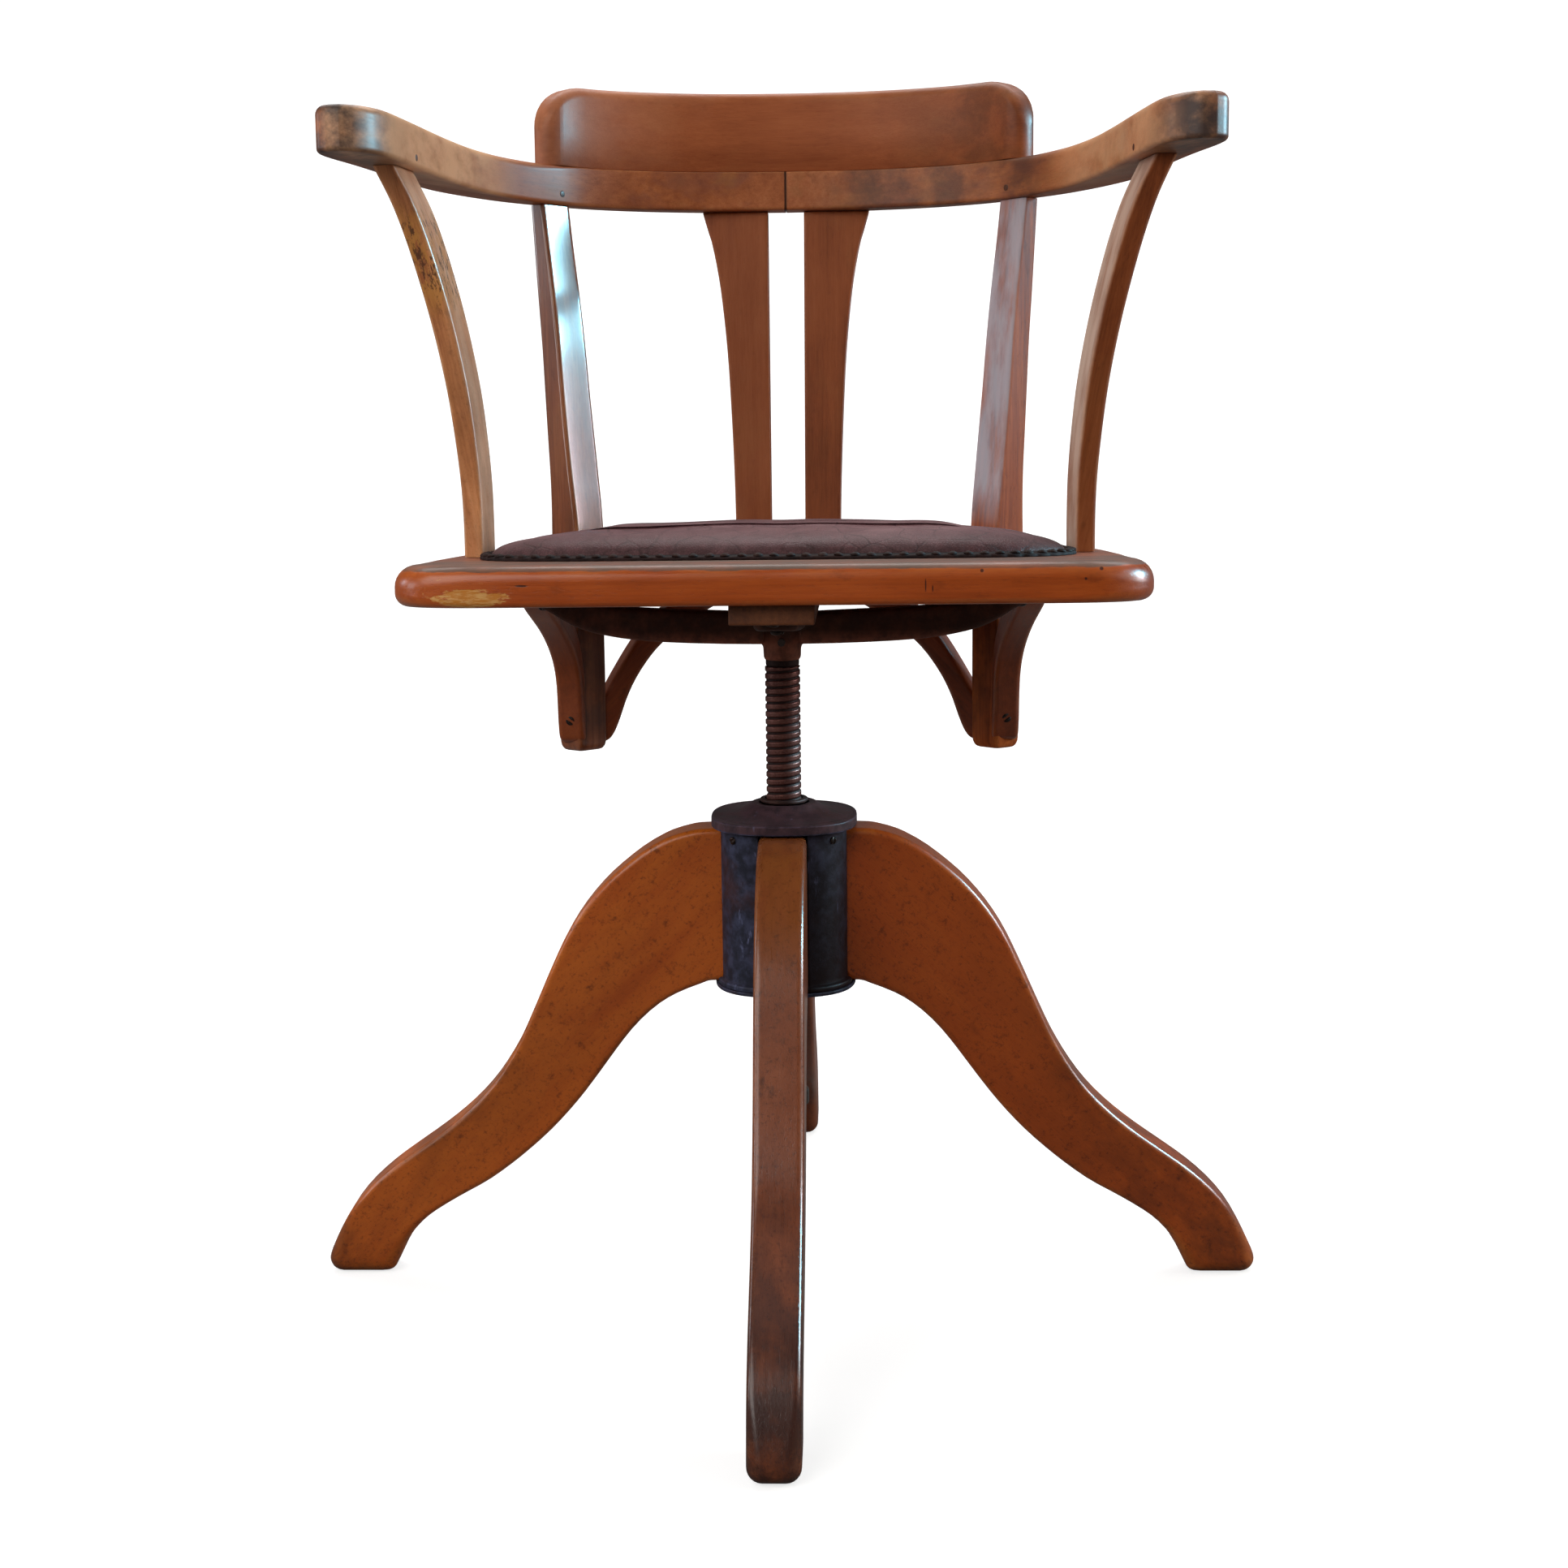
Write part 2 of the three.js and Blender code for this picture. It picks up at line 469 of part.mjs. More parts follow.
const armRight = board(railOutline, RAIL_Z0, RAIL_Z1, 3, 1);
let armSolid = toSolid(armRight);
// blind holes for the wooden plugs on the inner face of the rail, aimed across the rail
const plugAims = [
  { x: 219.4, y: -72, z: 741.5, dir: [-0.988, -0.139], name: 'front' },
  { x: 155.4, y: 130.2, z: 743.5, dir: [-0.755, -0.656], name: 'rear' },
];
plugAims.forEach(({ x, y, z, dir, name }) => {
  const place = (g) => {
    g.rotateY(Math.PI / 2);
    g.rotateZ(Math.atan2(dir[1], dir[0]));
    g.translate(x, y, z);
    return g;
  };
  armSolid = armSolid.subtract(toSolid(place(turned([[0, -9], [2.6, -9], [2.6, 9], [0, 9]], 8))));
  const plug = place(turned([[0, -8.6], [2.3, -8.6], [2.3, -0.2], [0, 0.2]], 8));
  addLeaning(`rail_plug_right_${name}`, plug, darkWood());
  addLeaning(`rail_plug_left_${name}`, mirrorX(plug), darkWood());
});
const armGeometry = toGeometry(armSolid);
addLeaning('arm_right', armGeometry, wood());
addLeaning('arm_left', mirrorX(armGeometry), wood());

// ---- crest rail on top of the arm rail ----------------------------------------------------
const crestPath = new THREE.SplineCurve([
  [-184, 88], [-172.5, 110.5], [-158, 130], [-141.5, 146.5], [-118, 160.5], [-90, 170.4], [-60, 177.2], [-30, 180.6], [0, 181.6],
  [30, 180.6], [60, 177.2], [90, 170.4], [118, 160.5], [141.5, 146.5], [158, 130], [172.5, 110.5], [184, 88],
].map(([x, y]) => new THREE.Vector2(x, y)));
const crestLength = crestPath.getLength();
const crestEnd = 41;             // path length left free at each end
const crestCorner = 33;
const crestRings = [];
const crestStops = [];
for (const a of [0, 20, 42, 66, 90]) {
  const t = THREE.MathUtils.degToRad(a);
  crestStops.push([crestEnd + crestCorner * (1 - Math.cos(t)), CREST_Z1 - crestCorner * (1 - Math.sin(t))]);
}
const middleStops = [];
for (let i = 1; i < 12; i++) {
  middleStops.push([crestEnd + crestCorner + (crestLength - 2 * (crestEnd + crestCorner)) * (i / 12), CREST_Z1]);
}
const allStops = [...crestStops, ...middleStops, ...crestStops.slice().reverse().map(([s, z]) => [crestLength - s, z])];
allStops.forEach(([s, top]) => {
  const u = s / crestLength;
  const p = crestPath.getPointAt(u);
  const d = crestPath.getTangentAt(u);
  const out = new THREE.Vector3(-d.y, d.x, 0);      // away from the sitter
  const bottom = RAIL_Z1 + GAP;
  const inner = (q) => new THREE.Vector3(p.x + out.x * q, p.y + out.y * q, 0);
  const at = (q, z) => { const v = inner(q); v.z = z; return v; };
  const t = CREST_T;
  crestRings.push([
    at(0.5, bottom), at(0, bottom + 2), at(0, top - 7), at(2.2, top - 2), at(6, top),
    at(t - 6, top), at(t - 2, top - 2), at(t, top - 7), at(t, bottom + 2), at(t - 0.5, bottom),
  ].reverse());
});
addLeaning('crest_rail', skin(crestRings), wood());

// ---- seat pad and its nailed edging -------------------------------------------------------
const edgeHalf = [
  [0, -140], [60, -139.8], [112, -138], [146, -132], [168, -120.5], [180.6, -103], [186, -80], [185.4, -60], [183.6, -44],
  [182.6, -12], [179.8, 24], [173, 58], [160, 87], [139.4, 111.6], [116, 131.6], [88, 147.6], [48, 158.4], [0, 162],
];
const edgeRight = smooth(edgeHalf, 23);
const offsetIn = (points, d) => points.map(([x, y], i) => {
  const [x0, y0] = points[Math.max(0, i - 1)];
  const [x1, y1] = points[Math.min(points.length - 1, i + 1)];
  const l = Math.hypot(x1 - x0, y1 - y0);
  const nx = -(y1 - y0) / l;
  const ny = (x1 - x0) / l;
  if (i === 0) return [0, y + d];
  if (i === points.length - 1) return [0, y - d];
  return [x + nx * d, y + ny * d];
});
const closedLoop = (right) => [...right, ...mirrored(right).slice(1, -1)];
const edging = new THREE.ExtrudeGeometry((() => {
  const s = shapeOf(closedLoop(edgeRight));
  const hole = new THREE.Path();
  closedLoop(offsetIn(edgeRight, 7.5)).forEach(([x, y], i) => (i ? hole.lineTo(x, y) : hole.moveTo(x, y)));
  hole.closePath();
  s.holes.push(hole);
  return s;
})(), { depth: 3.2, steps: 1, bevelEnabled: false, curveSegments: 1 });
edging.translate(0, 0, PLANK_Z1 + GAP);
addLeaning('seat_edging', edging, gimp());

const padLevels = [
  [7.9, 0], [7.9, 4.6], [11.5, 9], [20, 12.8], [38, 15.8], [70, 18], [120, PAD_CROWN],
];
const padBase = PLANK_Z1 + GAP;
const padRings = padLevels.map(([inset, h]) => {
  if (inset < 100) {
    return closedLoop(offsetIn(edgeRight, inset)).map(([x, y]) => new THREE.Vector3(x, y, padBase + h));
  }
  return closedLoop(edgeRight).map(([x, y]) => new THREE.Vector3(x * 0.3, (y - 8) * 0.3 + 8, padBase + h));
});
addLeaning('seat_pad', skin(padRings), leather());

export default group;
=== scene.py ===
import bpy
import math
import numpy as np
from mathutils import Matrix, Vector
from mathutils.geometry import tessellate_polygon


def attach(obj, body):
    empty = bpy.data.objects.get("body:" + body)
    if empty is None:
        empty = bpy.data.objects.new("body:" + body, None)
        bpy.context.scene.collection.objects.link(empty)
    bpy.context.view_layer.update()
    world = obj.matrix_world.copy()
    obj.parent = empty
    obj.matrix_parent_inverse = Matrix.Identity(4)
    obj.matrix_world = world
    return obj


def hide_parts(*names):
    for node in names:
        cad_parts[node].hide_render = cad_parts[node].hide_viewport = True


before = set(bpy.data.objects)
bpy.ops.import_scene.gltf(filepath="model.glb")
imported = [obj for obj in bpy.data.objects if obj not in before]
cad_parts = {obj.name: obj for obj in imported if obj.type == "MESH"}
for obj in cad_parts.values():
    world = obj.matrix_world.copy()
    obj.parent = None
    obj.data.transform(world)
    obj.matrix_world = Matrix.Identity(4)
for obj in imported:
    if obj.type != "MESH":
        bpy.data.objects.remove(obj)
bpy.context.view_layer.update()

MM = 0.001
rad = math.radians

# ---------------------------------------------------------------- shared dimensions, mm
GAP = 0.3
PITCH = 2.5
PIVOT_Z = 455.0
LEG_THICK = 31.5
HUB_HALF, HUB_POWER, HUB_TOP_Z = 43.5, 2.5, 329.4
FLANGE_HALF, FLANGE_Z0, FLANGE_Z1 = 48.8, 315.2, 321.6
HUB_BODY_Z0, PLATE_HALF, PLATE_Z0 = 208.6, 47.4, 206.0
SPINDLE_R, SPINDLE_Z0 = 11.7, 118.0
THREAD_PITCH = 5.08
PLANK_Z0, PLANK_Z1, BATTEN_Z0 = 472.0, 496.0, 460.0
RAIL_Z0, RAIL_Z1, CREST_Z1, CREST_T = 736.0, 763.0, 818.7, 21.0


# ---------------------------------------------------------------- curves and outlines
def spline(points, per=8):
    """Smooth line through the points, any number of coordinates."""
    p = np.asarray(points, float)
    n = len(p)
    out = []
    for i in range(n - 1):
        p0, p1, p2, p3 = p[max(i - 1, 0)], p[i], p[i + 1], p[min(i + 2, n - 1)]
        v0, v1 = (p2 - p0) / 2, (p3 - p1) / 2
        for k in range(per):
            t = k / per
            out.append((2 * p1 - 2 * p2 + v0 + v1) * t ** 3 + (-3 * p1 + 3 * p2 - 2 * v0 - v1) * t ** 2 + v0 * t + p1)
    out.append(p[-1])
    return np.array(out)


def resample(points, step, closed=False):
    p = np.asarray(points, float)
    if closed:
        p = np.vstack([p, p[:1]])
    d = np.linalg.norm(np.diff(p, axis=0), axis=1)
    keep = np.concatenate([[True], d > 1e-6])
    p = p[keep]
    d = np.linalg.norm(np.diff(p, axis=0), axis=1)
    s = np.concatenate([[0], np.cumsum(d)])
    n = max(int(round(s[-1] / step)), 3)
    t = np.linspace(0, s[-1], n + 1)
    q = np.stack([np.interp(t, s, p[:, k]) for k in range(p.shape[1])], 1)
    return q[:-1] if closed else q


def outline(points, corner=3.0, turn_deg=5.0, longest=9.0, sharp_deg=24.0):
    """Closed counter-clockwise outline with its sharp corners rounded, and its outward normals."""
    p = np.asarray(points, float)
    area = 0.5 * np.sum(p[:, 0] * np.roll(p[:, 1], -1) - np.roll(p[:, 0], -1) * p[:, 1])
    if area < 0:
        p = p[::-1]
    a = p - np.roll(p, 1, 0)
    b = np.roll(p, -1, 0) - p
    ang = np.abs(np.degrees(np.arctan2(a[:, 0] * b[:, 1] - a[:, 1] * b[:, 0], (a * b).sum(1))))
    corners = p[ang > sharp_deg]
    q = resample(p, 0.7, closed=True)
    if len(corners) and corner > 0:
        reach = 2.4 * corner
        near = np.min(np.linalg.norm(q[:, None] - corners[None], axis=2), axis=1)
        w = np.clip((reach - near) / (0.4 * reach), 0, 1)[:, None]
        for _ in range(int(0.72 * (corner / 0.7) ** 2) + 1):
            q = q + 0.5 * w * ((np.roll(q, 1, 0) + np.roll(q, -1, 0)) / 2 - q)
    t = np.roll(q, -1, 0) - np.roll(q, 1, 0)
    t /= np.linalg.norm(t, axis=1)[:, None]
    nrm = np.stack([t[:, 1], -t[:, 0]], 1)
    kept, turned, run = [0], 0.0, 0.0
    for i in range(1, len(q)):
        c = t[i - 1, 0] * t[i, 1] - t[i - 1, 1] * t[i, 0]
        turned += abs(math.degrees(math.asin(max(-1, min(1, c)))))
        run += float(np.linalg.norm(q[i] - q[i - 1]))
        if turned >= turn_deg or run >= longest:
            kept.append(i)
            turned = run = 0.0
    return q[kept], nrm[kept]


# ---------------------------------------------------------------- surfaces
def inset(p, nrm, o):
    """Outline moved inward by o. Points that would cross at a tight corner gather on its bisector."""
    o = np.broadcast_to(np.asarray(o, float), len(p))
    q = p - nrm * o[:, None]
    if o.max() < 0.05:
        return q
    nxt = np.roll(p, -1, 0)
    seg = nxt - p
    ll = np.maximum((seg ** 2).sum(1), 1e-12)
    t = np.clip(((q[:, None] - p[None]) * seg[None]).sum(2) / ll[None], 0, 1)
    d = np.linalg.norm(q[:, None] - (p[None] + t[..., None] * seg[None]), axis=2).min(1)
    bad = d < o * 0.97 - 0.02
    n = len(p)
    if bad.any() and not bad.all():
        i = 0
        start = int(np.nonzero(~bad)[0][0])
        while i < n:
            k = (start + i) % n
            if bad[k]:
                j = i
                while bad[(start + j) % n]:
                    j += 1
                mid = (q[(start + i - 1) % n] + q[(start + j) % n]) / 2
                for m in range(i, j):
                    w = (m - i + 1) / (j - i + 1)
                    side = q[(start + i - 1) % n] if w < 0.5 else q[(start + j) % n]
                    q[(start + m) % n] = side + (mid - side) * (1 - abs(2 * w - 1))
                i = j
            else:
                i += 1
    return q


def board(shape, z0, z1, top, bottom, seg=4, bore=None, hold=0.8):
    """Plate of an outline with rounded upper and lower edges. Gives points, faces and a 0..1 edge value.
    top and bottom are radii, either one number or one per outline point."""
    rows = [(bottom + hold, z0, 0.0)]
    for k in range(seg + 1):
        th = math.pi / 2 * k / seg
        rows.append((bottom * (1 - math.sin(th)), z0 + bottom * (1 - math.cos(th)), math.sin(math.pi * k / seg)))
    if np.min(z1 - top - (z0 + bottom)) > 3 * hold:
        rows += [(0.0, z0 + bottom + hold, 0.0), (0.0, z1 - top - hold, 0.0)]
    for k in range(seg + 1):
        th = math.pi / 2 * k / seg
        rows.append((top * (1 - math.cos(th)), z1 - top * (1 - math.sin(th)), math.sin(math.pi * k / seg)))
    rows.append((top + hold, z1, 0.0))
    return stack(shape, rows, bore)


def stack(shape, rows, bore=None):
    """Closed skin through copies of an outline. Each row is inset, height, edge value."""
    p, nrm = shape
    n = len(p)
    z0, z1 = float(np.min(rows[0][1])), float(np.max(rows[-1][1]))
    rings = [np.column_stack([inset(p, nrm, o), np.broadcast_to(np.asarray(z, float), n)]) for o, z, _ in rows]
    edge = [x for _, _, x in rows]
    m = len(rings)
    verts = np.vstack(rings)
    e = np.repeat(np.array(edge), n)
    faces = []
    for i in range(m - 1):
        for j in range(n):
            a, b = i * n + j, i * n + (j + 1) % n
            faces.append((a, b, b + n, a + n))
    if bore is None:
        faces.append(tuple(reversed(range(n))))
        faces.append(tuple(range((m - 1) * n, m * n)))
    else:
        k = 64
        th = np.arange(k) * 2 * math.pi / k
        circle = np.column_stack([bore * np.cos(th), bore * np.sin(th)])
        base = len(verts)
        verts = np.vstack([verts, np.column_stack([circle, np.full(k, z0)]), np.column_stack([circle, np.full(k, z1)])])
        e = np.concatenate([e, np.zeros(2 * k)])
        for j in range(k):
            a, b = base + j, base + (j + 1) % k
            faces.append((a, a + k, b + k, b))
        for ring, start, up in ((rings[0], 0, False), (rings[-1], (m - 1) * n, True)):
            loop_a = [Vector((x, y, 0)) for x, y, _ in ring]
            loop_b = [Vector((x, y, 0)) for x, y in circle]
            off = base + (k if up else 0)
            index = list(range(start, start + n)) + list(range(off, off + k))
            flat = np.array([[v.x, v.y] for v in loop_a + loop_b])
            for t in tessellate_polygon([loop_a, loop_b]):
                q = flat[list(t)]
                area = (q[1, 0] - q[0, 0]) * (q[2, 1] - q[0, 1]) - (q[1, 1] - q[0, 1]) * (q[2, 0] - q[0, 0])
                t = [index[x] for x in t]
                if (area > 0) != up:
                    t = t[::-1]
                faces.append(tuple(t))
    return verts, faces, e


def loft(rings, edge=None, caps=(True, True)):
    r = np.asarray(rings, float)
    m, n = r.shape[:2]
    verts = r.reshape(-1, 3)
    faces = []
    for i in range(m - 1):
        for j in range(n):
            a, b = i * n + j, i * n + (j + 1) % n
            faces.append((a, b, b + n, a + n))
    if caps[0]:
        faces.append(tuple(reversed(range(n))))
    if caps[1]:
        faces.append(tuple(range((m - 1) * n, m * n)))
    e = np.zeros(m * n) if edge is None else np.tile(np.asarray(edge, float), m) if len(edge) == n else np.asarray(edge, float)
    tri = [(f[0], f[i], f[i + 1]) for f in faces for i in range(1, len(f) - 1)]
    t = verts[np.array(tri)]
    if np.einsum("ij,ij->i", t[:, 0], np.cross(t[:, 1], t[:, 2])).sum() < 0:
        faces = [tuple(reversed(f)) for f in faces]
    return verts, faces, e


def rrect(a, b, r, seg=4):
    """Rounded rectangle with half sizes a and b: points and edge values, counter-clockwise."""
    r = min(r, a * 0.98, b * 0.98)
    pts, e = [], []
    hold = min(0.8, 0.4 * (a - r), 0.4 * (b - r))
    for cx, cy, start in ((a - r, b - r, 0), (-a + r, b - r, 90), (-a + r, -b + r, 180), (a - r, -b + r, 270)):
        s0, s1 = rad(start), rad(start + 90)
        pts.append((cx + r * math.cos(s0) + hold * math.sin(s0), cy + r * math.sin(s0) - hold * math.cos(s0)))
        e.append(0.0)
        for k in range(seg + 1):
            th = rad(start + 90 * k / seg)
            pts.append((cx + r * math.cos(th), cy + r * math.sin(th)))
            e.append(math.sin(math.pi * k / seg))
        pts.append((cx + r * math.cos(s1) - hold * math.sin(s1), cy + r * math.sin(s1) + hold * math.cos(s1)))
        e.append(0.0)
    return np.array(pts), np.array(e)


def ring_at(c, u, v, a, b, r, seg=4):
    p, _ = rrect(a, b, r, seg)
    return np.asarray(c, float) + p[:, :1] * np.asarray(u, float) + p[:, 1:] * np.asarray(v, float)


def soften(profile, r, seg=4):
    """Rounds the inner corners of an open or closed (r, z) profile."""
    p = [np.array(q, float) for q in profile]
    closed = np.allclose(p[0], p[-1])
    if closed:
        p = p[:-1]
    out = []
    n = len(p)
    for i in range(n):
        if not closed and i in (0, n - 1):
            out.append(p[i])
            continue
        a, b, c = p[i - 1], p[i], p[(i + 1) % n]
        la, lc = np.linalg.norm(a - b), np.linalg.norm(c - b)
        cosv = np.dot(a - b, c - b) / (la * lc)
        if cosv < -0.985:
            out.append(b)
            continue
        k = min(r, la * 0.45, lc * 0.45)
        s, t = b + (a - b) / la * k, b + (c - b) / lc * k
        for j in range(seg + 1):
            w = j / seg
            out.append((1 - w) ** 2 * s + 2 * w * (1 - w) * b + w ** 2 * t)
    if closed:
        out.append(out[0])
    return np.array(out)


def turned(profile, seg=64, r=0.6, wobble=None):
    p = soften(profile, r) if r else np.array(profile, float)
    rings = []
    th = np.arange(seg) * 2 * math.pi / seg
    verts, faces, index = [], [], []
    for rr, z in p:
        if rr < 1e-6:
            index.append([len(verts)] * seg)
            verts.append((0, 0, z))
        else:
            index.append(list(range(len(verts), len(verts) + seg)))
            verts.extend(zip(rr * np.cos(th), rr * np.sin(th), np.full(seg, z)))
    closed = np.allclose(p[0], p[-1]) and p[0][0] > 1e-6
    if closed:
        index[-1] = index[0]
        verts = verts[:-seg]
    for i in range(len(index) - 1):
        for j in range(seg):
            q = [index[i][j], index[i][(j + 1) % seg], index[i + 1][(j + 1) % seg], index[i + 1][j]]
            q = [x for k, x in enumerate(q) if x not in q[:k]]
            if len(q) > 2:
                faces.append(tuple(q))
    verts = np.array(verts, float)
    tri = [(f[0], f[i], f[i + 1]) for f in faces for i in range(1, len(f) - 1)]
    t = verts[np.array(tri)]
    if np.einsum("ij,ij->i", t[:, 0], np.cross(t[:, 1], t[:, 2])).sum() < 0:
        faces = [tuple(reversed(f)) for f in faces]
    # the edge value is zero everywhere
    e = np.zeros(len(verts))
    return verts, faces, e


def merge(*parts):
    verts, faces, edge, start = [], [], [], 0
    for v, f, e in parts:
        verts.append(v)
        edge.append(e)
        faces += [tuple(i + start for i in q) for q in f]
        start += len(v)
    return np.vstack(verts), faces, np.concatenate(edge)


def lean(v):
    a = -rad(PITCH)
    y, z = v[:, 1], v[:, 2] - PIVOT_Z
    return np.column_stack([v[:, 0], y * math.cos(a) - z * math.sin(a), y * math.sin(a) + z * math.cos(a) + PIVOT_Z])


def about_z(v, deg):
    c, s = math.cos(rad(deg)), math.sin(rad(deg))
    return np.column_stack([v[:, 0] * c - v[:, 1] * s, v[:, 0] * s + v[:, 1] * c, v[:, 2]])


def frame_of(direction, up=(0, 0, 1)):
    """Rows: grain direction, across, depth."""
    d = np.asarray(direction, float)
    d = d / np.linalg.norm(d)
    u = np.asarray(up, float)
    u = u - d * (u @ d)
    if np.linalg.norm(u) < 1e-6:
        u = np.array([1.0, 0, 0]) - d * d[0]
    u /= np.linalg.norm(u)
    return np.array([d, np.cross(u, d), u])


SEED = [0]


def make(name, part, mat, body, nodes, grain=None, leaning=False, mirror=False, turn=0.0, dirt_and_shade=None, fade_and_light=None, sharp=38.0, weld=False):
    """Adds one finished piece. grain holds the rows along, across and depth in the piece's own drawing position."""
    verts, faces, edge = part
    verts = np.asarray(verts, float)
    drawn = verts
    SEED[0] += 1
    k = SEED[0]
    rows = np.eye(3) if grain is None else np.asarray(grain, float)
    g = (verts * MM) @ rows.T + np.array([0.731 * k, 0.417 * k % 5.0, 0.293 * k % 7.0])
    if mirror:
        verts = verts * np.array([-1, 1, 1])
        faces = [tuple(reversed(f)) for f in faces]
    if turn:
        verts = about_z(verts, turn)
    if leaning:
        verts = lean(verts)
    me = bpy.data.meshes.new(name)
    me.from_pydata((verts * MM).tolist(), [], faces)
    a = me.attributes.new("grain", "FLOAT_VECTOR", "POINT")
    a.data.foreach_set("vector", g.astype(np.float32).ravel())
    a = me.attributes.new("edge", "FLOAT", "POINT")
    a.data.foreach_set("value", np.asarray(edge, np.float32))
    a = me.attributes.new("dirt_and_shade", "FLOAT", "POINT")
    gr = np.zeros(len(verts)) if dirt_and_shade is None else np.clip(dirt_and_shade(verts), 0, 1)
    a.data.foreach_set("value", gr.astype(np.float32))
    a = me.attributes.new("fade_and_light", "FLOAT", "POINT")
    fd = np.zeros(len(verts)) if fade_and_light is None else np.clip(fade_and_light(drawn), 0, 1)
    a.data.foreach_set("value", fd.astype(np.float32))
    if weld:
        import bmesh
        bm = bmesh.new()
        bm.from_mesh(me)
        bmesh.ops.remove_doubles(bm, verts=bm.verts, dist=2e-5)
        bmesh.ops.dissolve_degenerate(bm, edges=bm.edges, dist=1e-6)
        bm.to_mesh(me)
        bm.free()
    me.validate()
    me.shade_smooth()
    me.set_sharp_from_angle(angle=rad(sharp))
    me.materials.append(mat)
    ob = bpy.data.objects.new(name, me)
    bpy.context.scene.collection.objects.link(ob)
    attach(ob, body)
    if nodes:
        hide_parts(*nodes)
    return ob


# ---------------------------------------------------------------- materials
class Tree:
    def __init__(self, name):
        self.mat = bpy.data.materials.new(name)
        self.mat.use_nodes = True
        self.nt = self.mat.node_tree
        self.nt.nodes.clear()
        self.out = self.nt.nodes.new("ShaderNodeOutputMaterial")
        self.bsdf = self.nt.nodes.new("ShaderNodeBsdfPrincipled")
        self.nt.links.new(self.bsdf.outputs[0], self.out.inputs[0])

    def new(self, kind, **props):
        n = self.nt.nodes.new("ShaderNode" + kind)
        for k, v in props.items():
            setattr(n, k, v)
        return n

    def put(self, socket, value):
        if isinstance(value, bpy.types.NodeSocket):
            self.nt.links.new(value, socket)
        elif value is not None:
            socket.default_value = value

    def attr(self, name):
        return self.new("Attribute", attribute_name=name)

    def scaled(self, vec, s):
        n = self.new("VectorMath", operation="MULTIPLY")
        self.put(n.inputs[0], vec)
        n.inputs[1].default_value = s
        return n.outputs[0]

    def noise(self, vec, scale=1.0, detail=3.0, rough=0.55, distort=0.0):
        n = self.new("TexNoise")
        self.put(n.inputs["Vector"], vec)
        n.inputs["Scale"].default_value = scale
        n.inputs["Detail"].default_value = detail
        n.inputs["Roughness"].default_value = rough
        n.inputs["Distortion"].default_value = distort
        return n.outputs["Fac"]

    def math(self, op, a, b=0.0, c=None, clamp=False):
        n = self.new("Math", operation=op, use_clamp=clamp)
        self.put(n.inputs[0], a)
        self.put(n.inputs[1], b)
        if c is not None:
            self.put(n.inputs[2], c)
        return n.outputs[0]

    def span(self, v, lo, hi, a=0.0, b=1.0, smooth=True):
        n = self.new("MapRange", interpolation_type="SMOOTHSTEP" if smooth else "LINEAR")
        self.put(n.inputs["Value"], v)
        n.inputs["From Min"].default_value = lo
        n.inputs["From Max"].default_value = hi
        n.inputs["To Min"].default_value = a
        n.inputs["To Max"].default_value = b
        return n.outputs["Result"]

    def ramp(self, v, stops):
        n = self.new("ValToRGB")
        r = n.color_ramp
        while len(r.elements) < len(stops):
            r.elements.new(0.5)
        for el, (pos, col) in zip(r.elements, stops):
            el.position = pos
            el.color = (*col, 1)
        self.put(n.inputs[0], v)
        return n.outputs[0]

    def mix(self, fac, a, b, kind="MIX"):
        n = self.new("Mix", data_type="RGBA", blend_type=kind)
        self.put(n.inputs[0], fac)
        self.put(n.inputs[6], a if isinstance(a, bpy.types.NodeSocket) else (*a, 1))
        self.put(n.inputs[7], b if isinstance(b, bpy.types.NodeSocket) else (*b, 1))
        return n.outputs[2]

    def bump(self, height, strength, distance):
        n = self.new("Bump")
        n.inputs["Strength"].default_value = strength
        n.inputs["Distance"].default_value = distance
        self.put(n.inputs["Height"], height)
        self.put(self.bsdf.inputs["Normal"], n.outputs[0])

    def set(self, **kw):
        for k, v in kw.items():
            s = self.bsdf.inputs[k.replace("_", " ")]
            self.put(s, (*v, 1) if isinstance(v, tuple) and len(v) == 3 else v)
        return self.mat


def lin(r, g, b):
    f = lambda c: ((c / 255 + 0.055) / 1.055) ** 2.4 if c / 255 > 0.04045 else c / 255 / 12.92
    return (f(r), f(g), f(b))


